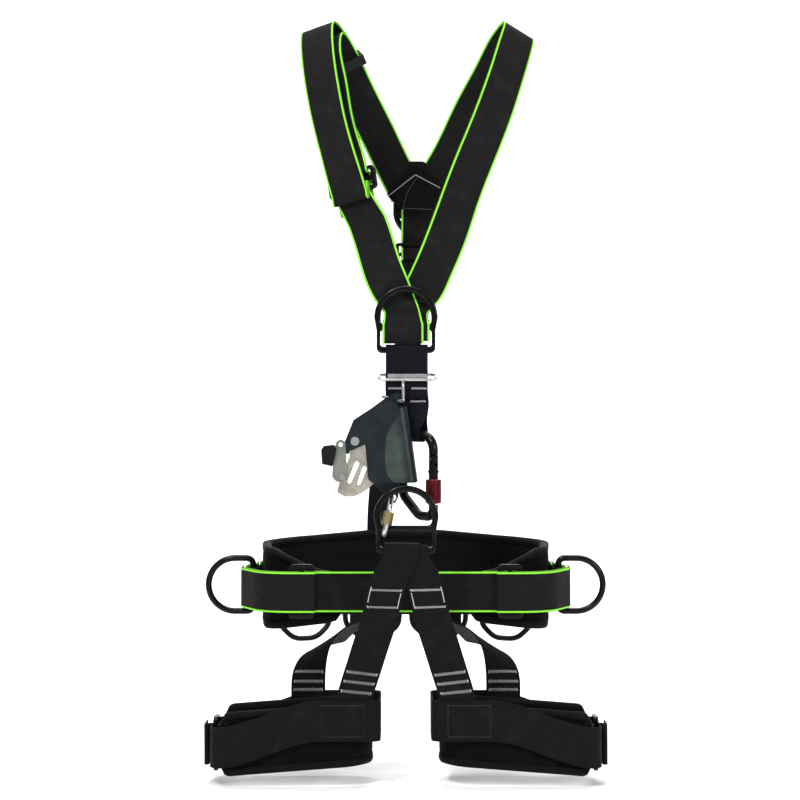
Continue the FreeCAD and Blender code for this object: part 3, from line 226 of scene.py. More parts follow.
def ribbed_webbing():
    """Flat navy webbing with fine cross ribs, with painted shade darker in the grooves between ribs and
    yarns.
    """
    s = Shader("chest_webbing")
    across, along = s.uv()
    rib = s.size(s.sine(s.times(along, math.pi / 1.5)))
    row = s.math("FLOOR", s.over(along, 1.5))
    shift = s.times(s.math("MODULO", s.size(row), 2.0), 0.5)
    cell = s.plus(s.over(across, 1.7), shift)
    yarn = s.size(s.sine(s.times(cell, math.pi)))
    height = s.times(rib, s.plus(0.6, s.times(yarn, 0.4)))
    fuzz = s.noise(s.join(across, along), 2.0, 2.0, 0.7)
    # Painted shade: the grooves between ribs and yarns are painted darker, with random fuzz.
    shade = s.times(height, s.plus(0.6, fuzz), clamp=True)
    s.set(base_color=s.mix(shade, (0.0005, 0.0006, 0.0014, 1), (0.004, 0.005, 0.010, 1)), roughness=0.72,
          sheen_weight=0.01, sheen_roughness=0.4, specular_ior_level=0.10)
    s.bump(height, 0.0003)
    return s.material


def pad_cloth(name, dark, light, open_mesh=False):
    """Plain-woven cover, or spacer mesh with small holes, in the piece's own space; the hollows of the weave,
    or the holes, get painted shade.
    """
    s = Shader(name)
    place = s.place()
    x, y, z = s.split(place)
    around = s.plus(x, s.times(y, 0.83))
    if open_mesh:
        row = s.math("FLOOR", s.over(z, 2.2))
        shift = s.times(s.math("MODULO", s.size(row), 2.0), 1.4)
        u = s.minus(s.math("FRACT", s.over(s.plus(around, shift), 2.8)), 0.5)
        v = s.minus(s.math("FRACT", s.over(z, 2.2)), 0.5)
        spot = s.math("SQRT", s.plus(s.times(u, u), s.times(v, v)))
        height = s.ramp(spot, 0.20, 0.40)
    else:
        a = s.sine(s.times(around, math.pi / 0.9))
        b = s.sine(s.times(z, math.pi / 0.9))
        height = s.size(s.times(a, b))
    fuzz = s.noise(place, 1.1, 2.0, 0.7)
    broad = s.noise(place, 0.02, 3.0, 0.55)
    # Painted shade: the weave's hollows or the mesh's holes are painted darker, with random fuzz.
    shade = s.times(height, s.plus(0.5, fuzz), clamp=True)
    colour = s.mix(shade, dark, light)
    colour = s.mix(s.ramp(broad, 0.5, 0.78, 0.0, 0.35), colour, [c * 1.8 for c in light[:3]] + [1])
    s.set(base_color=colour, roughness=0.88, sheen_weight=0.01, sheen_roughness=0.5,
          specular_ior_level=0.06)
    s.bump(s.plus(height, s.times(fuzz, 0.5)), 0.0003)
    return s.material


def thread(name, dark, light):
    """Twisted sewing thread."""
    s = Shader(name)
    place = s.place()
    x, y, z = s.split(place)
    twist = s.sine(s.times(s.plus(s.plus(x, y), z), 9.0))
    fuzz = s.noise(place, 3.0, 2.0)
    factor = s.plus(s.times(twist, 0.3), fuzz, clamp=True)
    s.set(base_color=s.mix(factor, dark, light), roughness=0.6, sheen_weight=0.25, sheen_roughness=0.4)
    s.bump(factor, 0.0001)
    return s.material


def metal(name, dark, light, rough, metallic=1.0, scratch=0.25, grain=0.0, coat=0.0, worn=None, gloss=0.5):
    """Plated or anodised metal with soft blotches, fine scratches and worn spots placed by noise."""
    s = Shader(name)
    place = s.place()
    x, y, z = s.split(place)
    blotch = s.noise(place, 0.06, 4.0, 0.6)
    hair = s.noise(s.join(s.times(x, 0.25), s.times(y, 0.25),
                          s.times(z, 2.6)), 1.2, 3.0, 0.7)
    fine = s.noise(place, 4.0, 2.0, 0.6)
    colour = s.mix(s.ramp(blotch, 0.3, 0.7), dark, light)
    if worn:
        rub = s.times(s.ramp(hair, 0.62, 0.74), s.ramp(blotch, 0.45, 0.62), clamp=True)
        colour = s.mix(s.times(rub, 0.5), colour, worn)
    roughness = s.plus(rough - scratch * 0.25, s.times(hair, scratch * 0.6), clamp=True)
    s.set(base_color=colour, metallic=metallic, roughness=roughness, specular_ior_level=gloss,
          coat_weight=coat, coat_roughness=0.12)
    height = s.plus(s.times(hair, 0.4), s.times(fine, grain))
    s.bump(height, 0.00004 + grain * 0.0002)
    return s.material


def ascender_cheek(name):
    """Dark green anodised plate with a paler rolled front, which fades out as painted shade where the front
    curves away and fades towards the top; its curved edge is pressed in.
    """
    s = Shader(name)
    place = s.place()
    x, y, z = s.split(place)
    curve = s.tree.nodes.new("ShaderNodeFloatCurve")
    edge = [(26.7, -6.0), (29.7, -15.3), (35.7, -19.7), (44.6, -21.9), (59.3, -22.6), (71.2, -21.9),
            (83.1, -18.2), (94.9, -10.8), (108.2, -6.4)]
    low, high, wide = 26.0, 109.0, 24.0
    points = curve.mapping.curves[0].points
    for k, (at, value) in enumerate(edge):
        spot = ((at - low) / (high - low), (value + wide) / wide)
        if k < len(points):
            points[k].location = spot
        else:
            points.new(*spot)
    curve.mapping.update()
    s.put(curve.inputs["Value"], s.over(s.minus(z, low), high - low))
    border = s.minus(s.times(curve.outputs[0], wide), wide)
    inside = s.minus(x, border)
    front = s.ramp(s.minus(y, RING_LEAD), -29.9, -27.0, 1.0, 0.0)
    panel = s.times(s.ramp(inside, -0.2, 0.4), s.ramp(z, 26.5, 27.5))
    axis = s.minus(2.7, s.times(s.minus(z, 27.0), 0.143))
    # Painted shade: the pale front is faded out where the rope channel curves away from the light.
    painted_roll_shade = s.ramp(s.minus(x, axis), -7.0, 4.5, 1.0, 0.0)
    upper = s.ramp(z, 70.0, 106.0, 1.0, 0.25)
    blotch = s.noise(place, 0.06, 4.0, 0.6)
    fine = s.noise(place, 4.0, 2.0, 0.6)
    base = s.mix(s.ramp(blotch, 0.3, 0.7), (0.0022, 0.0050, 0.009, 1), (0.0050, 0.013, 0.017, 1))
    pale = s.mix(s.ramp(blotch, 0.35, 0.65), (0.026, 0.042, 0.036, 1), (0.044, 0.064, 0.052, 1))
    amount = s.times(s.times(panel, front), s.times(painted_roll_shade, upper))
    line = s.minus(1.0, s.ramp(s.size(inside), 0.2, 0.8))
    height = s.plus(s.times(line, -1.0), s.times(fine, 0.06))
    roughness = s.plus(0.30, s.times(blotch, 0.16))
    s.set(base_color=s.mix(amount, base, pale), metallic=0.45, roughness=roughness, coat_weight=0.15,
          coat_roughness=0.2)
    s.bump(height, 0.0006)
    return s.material


def moulded(name, dark, light, rough):
    """Moulded plastic or rubber with a fine spark texture."""
    s = Shader(name)
    place = s.place()
    grain = s.noise(place, 2.4, 3.0, 0.6)
    broad = s.noise(place, 0.05, 3.0, 0.5)
    s.set(base_color=s.mix(s.ramp(broad, 0.35, 0.7), dark, light), specular_ior_level=0.2,
          roughness=s.plus(rough, s.times(grain, 0.18)))
    s.bump(grain, 0.00006)
    return s.material


GREEN = (0.30, 0.95, 0.055, 1)
COOL = (0.9, 1, 1.1)
BLACKENED = dict(metallic=0.0, scratch=0.2, worn=grey(0.02), coat=0.1, gloss=0.1)
MATERIALS = {
    "webbing": webbing("webbing", 22, grey(0.0006), grey(0.011, (1, 1.02, 1.02)), GREEN),
    "plain_webbing": webbing("plain_webbing", 22, grey(0.0006), grey(0.008, COOL), rib=1.7, pick=1.1),
    "chest_webbing": ribbed_webbing(),
    "pad_cover": pad_cloth("pad_cover", grey(0.0006, COOL), grey(0.006, COOL)),
    "pad_lining": pad_cloth("pad_lining", grey(0.0005), grey(0.005, COOL), open_mesh=True),
    "binding": webbing("binding", 8, grey(0.0006), grey(0.005), rib=1.0, pick=0.8),
    "pale_thread": thread("pale_thread", grey(0.50, (0.96, 1, 1.06)), grey(0.84, (0.96, 1, 1.06))),
    "dark_thread": thread("dark_thread", grey(0.003), grey(0.018)),
    "pale_piping": thread("pale_piping", grey(0.10), grey(0.22)),
    "black_steel": metal("black_steel", grey(0.002), grey(0.005), 0.24, **BLACKENED),
    "steel": metal("steel", grey(0.42), grey(0.62), 0.28, 1.0, 0.3),
    "black_alloy": metal("black_alloy", grey(0.002), grey(0.005), 0.26, **BLACKENED),
    "green_alloy": ascender_cheek("green_alloy"),
    "cam_steel": metal("cam_steel", (0.46, 0.44, 0.36, 1), (0.76, 0.73, 0.62, 1), 0.24, 1.0, 0.3, grain=0.3),
    "grey_steel": metal("grey_steel", (0.20, 0.22, 0.18, 1), (0.30, 0.32, 0.27, 1), 0.36, 0.9, 0.3),
    "red_alloy": metal("red_alloy", (0.06, 0.002, 0.006, 1), (0.17, 0.005, 0.014, 1), 0.26, 0.75, 0.2,
                       coat=0.2),
    "gold_steel": metal("gold_steel", (0.26, 0.22, 0.09, 1), (0.42, 0.37, 0.17, 1), 0.30, 1.0, 0.3),
    "plastic": moulded("plastic", grey(0.0012), grey(0.003, (0.8, 1, 1.3)), 0.38),
    "tube": moulded("tube", grey(0.0015), grey(0.004), 0.28),
}


# ------------------------------------------------------------ paths

def corner(before, point, after, radius):
    """A rounded corner's arc: where it starts, its centre, and where it ends."""
    back, ahead = unit(before - point), unit(after - point)
    half = math.acos(max(-1, min(1, float(back @ ahead)))) / 2
    reach = radius / math.tan(half)
    centre = point + unit(back + ahead) * (radius / math.sin(half))
    return point + back * reach, centre, point + ahead * reach


def rounded(points, radii, steps=7):
    """The path of straight runs and tangent arcs, as points."""
    path = [points[0]]
    for i, radius in enumerate(radii, start=1):
        start, centre, end = corner(points[i - 1], points[i], points[i + 1], radius)
        a, b = start - centre, end - centre
        angle = math.acos(max(-1, min(1, float(unit(a) @ unit(b)))))
        side = unit(b - a * (a @ b) / (a @ a)) * radius
        for step in range(steps + 1):
            turn = angle * step / steps
            path.append(centre + a * math.cos(turn) + side * math.sin(turn))
    path.append(points[-1])
    return path


def smooth(stations, count):
    """A natural cubic spline through stations of centre and width vector."""
    data = np.array([np.concatenate(station) for station in stations], float)
    n = len(data)
    t = np.concatenate([[0], np.cumsum(np.linalg.norm(np.diff(data[:, :3], axis=0), axis=1))])
    h = np.diff(t)
    matrix = np.eye(n)
    right = np.zeros((n, data.shape[1]))
    for i in range(1, n - 1):
        matrix[i, i - 1:i + 2] = h[i - 1], 2 * (h[i - 1] + h[i]), h[i]
        right[i] = 6 * ((data[i + 1] - data[i]) / h[i] - (data[i] - data[i - 1]) / h[i - 1])
    bend = np.linalg.solve(matrix, right)
    result = []
    for at in np.linspace(0, t[-1], count):
        i = min(int(np.searchsorted(t, at, side="right")) - 1, n - 2)
        a, b = t[i + 1] - at, at - t[i]
        value = (bend[i] * a ** 3 + bend[i + 1] * b ** 3) / (6 * h[i])
        value += (data[i] / h[i] - bend[i] * h[i] / 6) * a
        value += (data[i + 1] / h[i] - bend[i + 1] * h[i] / 6) * b
        result.append((value[:3], value[3:]))
    return result


def flat(origin, along, outward, width, points, radii):
    """Stations of a strap that bends in one plane: points are (along, outward) pairs."""
    places = [origin + along * a + outward * n for a, n in points]
    return [(place, width) for place in rounded(places, radii)]


def flip(stations):
    """The same stations on the wearer's other side."""
    mirror = vec(-1, 1, 1)
    return [(c * mirror, w * -mirror) for c, w in stations]


# ------------------------------------------------------------ meshes

def make_object(name, vertices, faces, material, uvs=None):
    """A smooth-shaded piece on the root body; uvs are in millimetres."""
    mesh = bpy.data.meshes.new(name)
    mesh.from_pydata([tuple((v + Y * RING_LEAD) * MM) for v in vertices], [], faces)
    if uvs is not None:
        layer = mesh.uv_layers.new(name="UVMap")
        corners = np.empty(len(mesh.loops), int)
        mesh.loops.foreach_get("vertex_index", corners)
        layer.data.foreach_set("uv", (np.array(uvs)[corners] / 100.0).ravel())
    mesh.materials.append(MATERIALS[material])
    mesh.shade_smooth()
    obj = bpy.data.objects.new(name, mesh)
    bpy.context.collection.objects.link(obj)
    bm = bmesh.new()
    bm.from_mesh(mesh)
    bmesh.ops.recalc_face_normals(bm, faces=bm.faces)
    bm.to_mesh(mesh)
    bm.free()
    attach(obj, ROOT)
    return obj


# A strap's section: places across its width, and how far its face stands out there.
ACROSS = [-0.5, -0.492, -0.47, -0.44, -0.33, -0.2, -0.07, 0.07, 0.2, 0.33, 0.44, 0.47, 0.492, 0.5]
SWELL = [0.40, 0.90, 1.06, 0.98, 0.96, 0.97, 1.0, 1.0, 0.97, 0.96, 0.98, 1.06, 0.90, 0.40]


class Strap:
    """A woven strap along stations of centre and width vector."""

    def __init__(self, stations, nominal=44.0, thickness=1.9, step=1.8, sag=0.0, seed=0.0):
        centres, widths = [stations[0][0]], [stations[0][1]]
        for (c0, w0), (c1, w1) in zip(stations, stations[1:]):
            gap = np.linalg.norm(c1 - c0)
            if gap < 1e-4:
                continue
            parts = max(1, int(gap / step))
            for k in range(1, parts + 1):
                centres.append(c0 + (c1 - c0) * k / parts)
                widths.append(w0 + (w1 - w0) * k / parts)
        self.centres, self.widths = np.array(centres), np.array(widths)
        ahead = np.gradient(self.centres, axis=0)
        normal = np.cross(ahead, self.widths)
        self.normals = normal / np.linalg.norm(normal, axis=1)[:, None]
        self.lengths = np.concatenate([[0], np.cumsum(np.linalg.norm(np.diff(self.centres, axis=0), axis=1))])
        self.nominal, self.thickness, self.sag, self.seed = nominal, thickness, sag, seed

    def surface(self, row, across, lift=0.0, side=1):
        """A point on one face; across is from -0.5 to 0.5."""
        row = min(max(row, 0.0), len(self.centres) - 1.001)
        i, f = int(row), row - int(row)
        pick = lambda table: table[i] * (1 - f) + table[i + 1] * f
        reach = side * (self.thickness / 2 + lift) + self.wave(self.lengths[i], across)
        return pick(self.centres) + pick(self.widths) * across + pick(self.normals) * reach

    def wave(self, s, across):
        """Slow unevenness of worn webbing: cupping and edge ripple."""
        ripple = math.sin(s / 19.0 + self.seed) * math.sin(s / 47.0 + 2.1 * self.seed)
        return self.sag * (across * ripple * 2.0 + 0.35 * math.sin(s / 31.0 + self.seed))

    def build(self, name, material, nodes):
        rows, columns = len(self.centres), len(ACROSS)
        vertices, uvs, faces = [], [], []
        for side in (1, -1):
            for i in range(rows):
                for u, swell in zip(ACROSS, SWELL):
                    lift = side * self.thickness / 2 * swell + self.wave(self.lengths[i], u)
                    vertices.append(self.centres[i] + self.widths[i] * u + self.normals[i] * lift)
                    uvs.append((u * self.nominal, self.lengths[i]))
        count = rows * columns
        for i in range(rows - 1):
            for j in range(columns - 1):
                a, b = i * columns + j, (i + 1) * columns + j
                faces.append((a, a + 1, b + 1, b))
                faces.append((count + a, count + b, count + b + 1, count + a + 1))
            for j in (0, columns - 1):
                a, b = i * columns + j, (i + 1) * columns + j
                faces.append((a, b, count + b, count + a))
        for i in (0, rows - 1):
            for j in range(columns - 1):
                a = i * columns + j
                faces.append((a, a + 1, count + a + 1, count + a))
        obj = make_object(name, vertices, faces, material, uvs)
        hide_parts(*nodes)
        return self


def wire(name, paths, radius, material, sides=6):
    """Thin round threads or piping along polylines, as one mesh."""
    vertices, faces = [], []
    for path in paths:
        points = np.array(path, float)
        ahead = np.gradient(points, axis=0)
        ahead /= np.linalg.norm(ahead, axis=1)[:, None] + 1e-12
        side = np.cross(ahead[0], Z if abs(ahead[0] @ Z) < 0.9 else X)
        base = len(vertices)
        for point, direction in zip(points, ahead):
            side = unit(side - direction * (side @ direction))
            other = np.cross(direction, side)
            for k in range(sides):
                angle = 2 * math.pi * k / sides
                spoke = side * (radius * math.cos(angle)) + other * (radius * math.sin(angle))
                vertices.append(point + spoke)
        last = base + (len(points) - 1) * sides
        for a in range(base, last, sides):
            for k in range(sides):
                b, after = a + sides, (k + 1) % sides
                faces.append((a + k, a + after, b + after, b + k))
        faces.append(tuple(base + k for k in range(sides))[::-1])
        faces.append(tuple(last + k for k in range(sides)))
    make_object(name, vertices, faces, material)


def tack_path(strap, row, across0, across1, half=1.3, side=1, pitch=0.9, level=0.0):
    """A zigzag bar tack across the strap, turned towards the level by a share of the way."""
    span = abs(across1 - across0) * np.linalg.norm(strap.widths[int(row)])
    count = max(4, int(span / pitch) * 2)
    spacing = max(strap.lengths[min(int(row) + 1, len(strap.lengths) - 1)] - strap.lengths[int(row)], 0.2)
    ahead = strap.centres[int(row) + 1] - strap.centres[int(row)]
    lean = -level * strap.widths[int(row)][2] / ahead[2] if level else 0.0
    path = []
    for k in range(count + 1):
        across = across0 + (across1 - across0) * k / count
        shift = half / spacing * (1 if k % 2 else -1)
        path.append(strap.surface(row + shift + lean * across, across, 0.22, side))
    return path


def seam_paths(strap, row0, row1, across, side=1, stitch=3.0, gap=1.1, lift=0.12):
    """A running line of single stitches along the strap."""
    paths = []
    at = strap.lengths[int(row0)]
    end = strap.lengths[int(row1)]
    rows = np.arange(len(strap.lengths))
    while at + stitch < end:
        places = np.linspace(at, at + stitch, 5)
        lifts = (-0.25, lift, lift + 0.08, lift, -0.25)
        paths.append([strap.surface(float(np.interp(p, strap.lengths, rows)), across, rise, side)
                      for p, rise in zip(places, lifts)])
        at += stitch + gap
    return paths


# ------------------------------------------------------------ adjusters' webbing routes

FRAME_THICK = 5.0
OVER_RAIL = FRAME_THICK / 2 + 0.4 + 1.0
FOLD_INNER = 7.6
FOLD_OUTER = 11.4


def running_route(fold):
    points = [(-7.9, OVER_RAIL), (-6.1, -4.6), (5.5, -4.6), (5.5, FOLD_INNER), (fold, FOLD_INNER),
              (fold, FOLD_OUTER)]
    return points, [2.0, 1.6, 1.6, 1.6, 1.8, 1.8]


def fixed_route(tail):
    return [(tail, -OVER_RAIL), (8.1, -OVER_RAIL), (8.1, OVER_RAIL), (16.0, OVER_RAIL)], [1.6, 1.6]


def plan_points(*places):
    return [vec(x, y, 0) for x, y in places]


def plan_strap(points, radii, z, width=44.0):
    """Stations of an upright strap along a plan path."""
    return [(vec(p[0], p[1], z), Z * width) for p in rounded(points, radii)]


def mirror_pair(name, right, material, node, **options):
    """A strap on each side, from the right one's stations; returns the right and the left strap."""
    pair = []
    for side, rows, seed in (("right", right, 0.7), ("left", flip(right), 2.9)):
        strap = Strap(rows, seed=seed, **options)
        pair.append(strap.build("%s_%s_cloth" % (name, side), material, [node.format(side)]))
    return pair


# ------------------------------------------------------------ waist belt

BELT_Z = -92.0
BELT_ADJUSTER = vec(112.5, 16.0, BELT_Z)
# The waist pad: half its thickness, the corner where its side ends, and the wings in front.
PAD_HALF = 5.8
PAD_SIDE_X, PAD_SIDE_Y = 160.0, 160.0
PAD_SIDE_LEAN = 0.085
WING_Y = 38.0
WING_TIP_X = 68.0


def pad_side_point(y):
    """The pad's side leans in towards the front."""
    return vec(PAD_SIDE_X - PAD_SIDE_LEAN * (PAD_SIDE_Y - y), y, 0)


def pad_plan(start, offset=0.0):
    """Plan of the waist pad's middle line, from the right side round the back to the left side."""
    half = start + [vec(PAD_SIDE_X, PAD_SIDE_Y, 0), vec(118, 200, 0)]
    radii = [28] * (len(start) - 1) + [45, 60]
    points = half + [p * vec(-1, 1, 1) for p in reversed(half)]
    path = np.array(rounded(points, radii + radii[::-1], 12))
    if offset:
        ahead = np.gradient(path, axis=0)
        side = np.cross(ahead, Z)
        path = path + side / np.linalg.norm(side, axis=1)[:, None] * offset
    return path


def resample(path, step):
    """The path as points about a step apart, and each point's length along it."""
    path = np.array(path)
    lengths = np.concatenate([[0], np.cumsum(np.linalg.norm(np.diff(path, axis=0), axis=1))])
    count = max(2, int(lengths[-1] / step) + 1)
    at = np.linspace(0, lengths[-1], count)
    return np.stack([np.interp(at, lengths, path[:, k]) for k in range(3)], axis=1), at


rear_path = pad_plan([pad_side_point(128.0)], PAD_HALF + 0.3 + 1.0)
rear_belt = Strap([(vec(p[0], p[1], BELT_Z), Z * 44.0) for p in rear_path], seed=1.1).build(
    "belt_webbing_rear_cloth", "webbing", ["belt_webbing_rear"])

loop, loop_radii = fixed_route(30.0)
half_front = [vec(BELT_ADJUSTER[0] - a, BELT_ADJUSTER[1] - n, 0) for a, n in loop[:3]]
front_points = half_front + [p * vec(-1, 1, 1) for p in reversed(half_front)]
Strap(plan_strap(front_points, loop_radii * 2, BELT_Z), sag=0.12, seed=0.4).build(
    "belt_webbing_front_cloth", "webbing", ["belt_webbing_front"])

inner, inner_radii = running_route(14.2)
through = [vec(BELT_ADJUSTER[0] - a, BELT_ADJUSTER[1] - n, 0) for a, n in inner]
tail_y = through[-1][1]
hip_points = plan_points((168.6, 152), (167.2, 132), (177.2, 106), (177.2, 66), (150, 12.6))
hip_points += through + plan_points((153, tail_y + 0.8), (181.3, 65), (181.3, 96))
hip_radii = [20, 20, 40, 40] + inner_radii + [44, 40]
hip_right, hip_left = mirror_pair("belt_strap", plan_strap(hip_points, hip_radii, BELT_Z), "webbing",
                                  "belt_strap_{}", sag=0.14)

# The tab round each side ring's bar.
tab_points = plan_points((168.0, 123), (175.0, 96), (175.2, 82.6), (164.9, 82.6), (164.9, 121))
tab_stations = plan_strap(tab_points, [14, 5.0, 5.0], BELT_Z, 40.0)
mirror_pair("side_ring_tab", tab_stations, "plain_webbing", "side_ring_tabs", thickness=1.4, nominal=40.0)

# ------------------------------------------------------------ legs

LEG_WEB_Z = -229.0
LEG_WEB_DROP = 29.0
LEG_FRONT_Y, LEG_BACK_Y = 7.0, 69.0
LEG_INNER_X, LEG_OUTER_X = 40.0, 198.0
LEG_ADJUSTER = vec(206.0, 38.0, LEG_WEB_Z - LEG_WEB_DROP)


def smoothstep(t):
    t = min(max(t, 0.0), 1.0)
    return t * t * (3 - 2 * t)


def leg_web_z(x):
    """The leg webbing drops from the crotch to the adjuster."""
    drop_start = 90.0
    return LEG_WEB_Z - LEG_WEB_DROP * smoothstep((x - drop_start) / (LEG_ADJUSTER[0] - drop_start))


def leg_webbing_stations():
    fixed, fixed_radii = fixed_route(26.0)
    running, running_radii = running_route(15.0)
    place = lambda a, n: vec(LEG_ADJUSTER[0] + n, LEG_ADJUSTER[1] - a, 0)
    outer_x = LEG_ADJUSTER[0] + OVER_RAIL
    front_y, back_y, inner_x = LEG_FRONT_Y - 9.0, LEG_BACK_Y + 9.6, LEG_INNER_X - 12.0
    points = [place(*p) for p in fixed[:3]]
    points += plan_points((outer_x, front_y), (inner_x, front_y), (inner_x, back_y), (outer_x, back_y))
    points += [place(*p) for p in running] + [place(-14.0, FOLD_OUTER)]
    radii = fixed_radii + [14, 9, 9, 14] + running_radii
    stations = []
    path = rounded(points, radii)
    for a, b in zip(path, path[1:]):
        parts = max(1, int(np.linalg.norm(b - a) / 4))
        stations += [a + (b - a) * k / parts for k in range(parts)]
    stations.append(path[-1])
    return [(vec(p[0], p[1], leg_web_z(p[0])), Z * 44.0) for p in stations]


leg_web_right, leg_web_left = mirror_pair("leg_webbing", leg_webbing_stations(), "plain_webbing",
                                          "leg_webbing_{}", sag=0.18)


def hung_forward(stations):
    """Moves leg strap stations forward with the belly ring at the top, and not at all at the leg."""
    moved = []
    for centre, width in stations:
        share = 1 - smoothstep((-50.0 - centre[2]) / 140.0)
        moved.append((centre - Y * (RING_LEAD * share), width))
    return moved


def front_leg_stations(side):
    """Leg strap over the foot bar of the belly ring; the left one laps over the right one."""
    bar_z, lapped = -43.5, side < 0
    layer = 2 * 0.4 + 3.0 if lapped else 0.4 + 1.0
    around, over = 4 + layer, bar_z + 3.5 + layer
    bend = 3.0 if lapped else 2.0
    points = [(bar_z - (24.0 if lapped else 22.0), -around + 3.6), (bar_z - 6, -around), (over, -around),
              (over, around), (bar_z - 4.0, around)]
    top = flat(vec(4.5 * side, 0, 0), Z, -Y, X * 38.0, points, [8, bend, bend])
    y = [-6.9, -4.4, -1.6, 0.0] if lapped else [-4.4, -1.8, -0.8, 0.1]
    run = [(vec(5.5 * side, -around, bar_z - 6.0), X * 38.0),
           (vec(11 * side, y[0], -60), vec(37.5, -side, 4 * side)),
           (vec(19.5 * side, y[1], -80), vec(37, -side, 8 * side)),
           (vec(27 * side, y[2], -112), vec(37, -side, 8.5 * side)),
           (vec(36.3 * side, y[3], -143), vec(36.5, 0, 11 * side)),
           (vec(46.5 * side, 0.5, -176), vec(36.5, 0, 11 * side)),
           (vec(54.5 * side, 0.5, -202), vec(36.8, 0, 9 * side)),
           (vec(60.5 * side, 0.5, -232), vec(37.4, 0, 6 * side))]
    return hung_forward(top), hung_forward(smooth(run, 90))


def riser_stations():
    back = LEG_BACK_Y + 6.8
    data = [(108, back, -238, 38, 0, 0), (108, back, -222, 38, 0, 0), (108, back, -207, 38, 0, 0),
            (107, back + 2.6, -186, 37, 3, -4), (101, back + 12, -167, 33, 10, -13),
            (85, 112, -155, 26, 15, -22), (66, 146, -151, 22, 16, -26), (54, 172, -148, 26, 8, -24),
            (48, 187.0, -138, 34, 2, -12), (46, 191.6, -122, 38, 0, 0), (46, 191.8, -106, 38, 0, 0)]
    return smooth([(vec(*d[:3]), vec(*d[3:])) for d in data], 150)


leg_fronts = []
for side, name in ((1, "right"), (-1, "left")):
    top, run = front_leg_stations(side)
    strap = Strap(top + run, nominal=38.0, thickness=1.8, sag=0.2, seed=side).build(
        "leg_front_strap_%s_cloth" % name, "plain_webbing", ["leg_front_strap_" + name])
    run_start = len(Strap(top).centres)
    leg_fronts.append((strap, run_start))
risers = mirror_pair("leg_riser", riser_stations(), "plain_webbing", "leg_risers", nominal=38.0, sag=0.3)

# ------------------------------------------------------------ chest and shoulders

CHEST_RING_Z = 211.6
CROSSBAR_Z = CHEST_RING_Z - 19.75
LOOP_FOOT_Z = CHEST_RING_Z - 33.4
LAYER = 2.4


def crossbar_loop(x, layer):
    """A shoulder strap's end, folded round the chest ring's crossbar; layer 1 laps over layer 0."""
    spacing = 0.4 + 1.0 + layer * LAYER
    around, under = 4 + spacing, LOOP_FOOT_Z - layer * LAYER
    points = [(CROSSBAR_Z + 9, -around), (under, -around), (under, around), (CROSSBAR_Z + 3, around)]
    return flat(vec(x, 0, 0), Z, -Y, X * 44.0, points, [2.2 + layer, 2.2 + layer])


def stations(rows):
    """Stations from rows of six numbers: the centre, then the width vector."""
    return [(vec(*row[:3]), vec(*row[3:])) for row in rows]


RIGHT_SHOULDER = [
    (3.4, -4.2, 198.5, 42, 0, 0), (3.8, 0.8, 203.5, 40, 0, -1), (4.8, 7.0, 209, 39, 0, -3),
    (9.5, 12.0, 217, 40, 0, -7), (19.5, 14.6, 234, 41.5, 1, -14), (27, 15.6, 250, 41, 3, -15),
    (43.7, 19, 290, 41, 9, -15), (61.2, 26, 339.6, 40, 12, -14), (76.8, 36, 379.8, 40, 12, -14),
    (93.2, 50, 421, 39, 13, -15), (112.4, 70, 477, 36, 13, -20), (122.5, 84, 510, 35, 9, -21),
    (126, 99, 528, 34, 4, -20), (116, 114, 518, 35, -4, -22), (99.5, 131, 488, 37, -8, -21),
    (76.5, 153, 447, 38, -8, -20), (53.7, 171, 401, 38, -6, -20), (33, 182, 366, 38, -3, -20),
    (20, 185.5, 343, 40, 0, -17)]
right_run = crossbar_loop(3.2, 0) + smooth(stations(RIGHT_SHOULDER), 330)
right_shoulder = Strap(right_run, sag=0.28, seed=0.3).build(
    "shoulder_strap_right_cloth", "webbing", ["shoulder_strap_right"])

SHOULDER_ADJUSTER = vec(-58.5, 47.0, 352.0)
BACK_ADJUSTER = vec(17.0, 190.0, 284.0)
s_across = unit(vec(0.88, -0.42, 0.22))
s_along = vec(0.30, -0.28, -0.90)
s_along = unit(s_along - s_across * (s_along @ s_across))
s_out = np.cross(s_along, s_across)

LEFT_MAIN = [
    (4, 179.2, 352, 40, 1, 18), (-12.2, 175, 381, 38, 3, 18), (-31.7, 163, 419.8, 38, 5, 18),
    (-53, 143, 460, 38, 6, 18), (-75, 120, 503, 37, 2, 18), (-87, 104, 519, 36, -4, 15),
    (-90, 92, 505, 36, -10, 15), (-84, 80, 465, 36.5, -17, 14), (-76, 68, 420, 37, -21, 10)]
LEFT_TAIL = [
    (-67.5, 37.0, 359, 38, -19.5, 9.5), (-73.5, 41.5, 380, 37, -21, 9), (-83, 54, 415, 36.5, -21, 9),
    (-94, 70, 470, 36.5, -17, 13),
    (-98.5, 84, 506, 36.5, -11, 15), (-97, 102, 532, 37, -4, 13), (-84, 120, 517, 37, 2, 18),
    (-62, 142.5, 474, 38, 6, 18), (-50, 154, 452, 38, 6, 18)]
route, route_radii = running_route(24.0)
main_run = smooth(stations(LEFT_MAIN) + [(vec(-66, 57, 382), s_across * 44.0)], 240)
bend_run = flat(SHOULDER_ADJUSTER, s_along, s_out, s_across * 44.0,
                [(-16, OVER_RAIL)] + route + [(16, FOLD_OUTER)], route_radii)
tail_run = smooth(stations(LEFT_TAIL), 200)
Strap(main_run + bend_run + tail_run, sag=0.22, seed=1.9).build(
    "shoulder_strap_left_upper_cloth", "webbing", ["shoulder_strap_left_upper"])

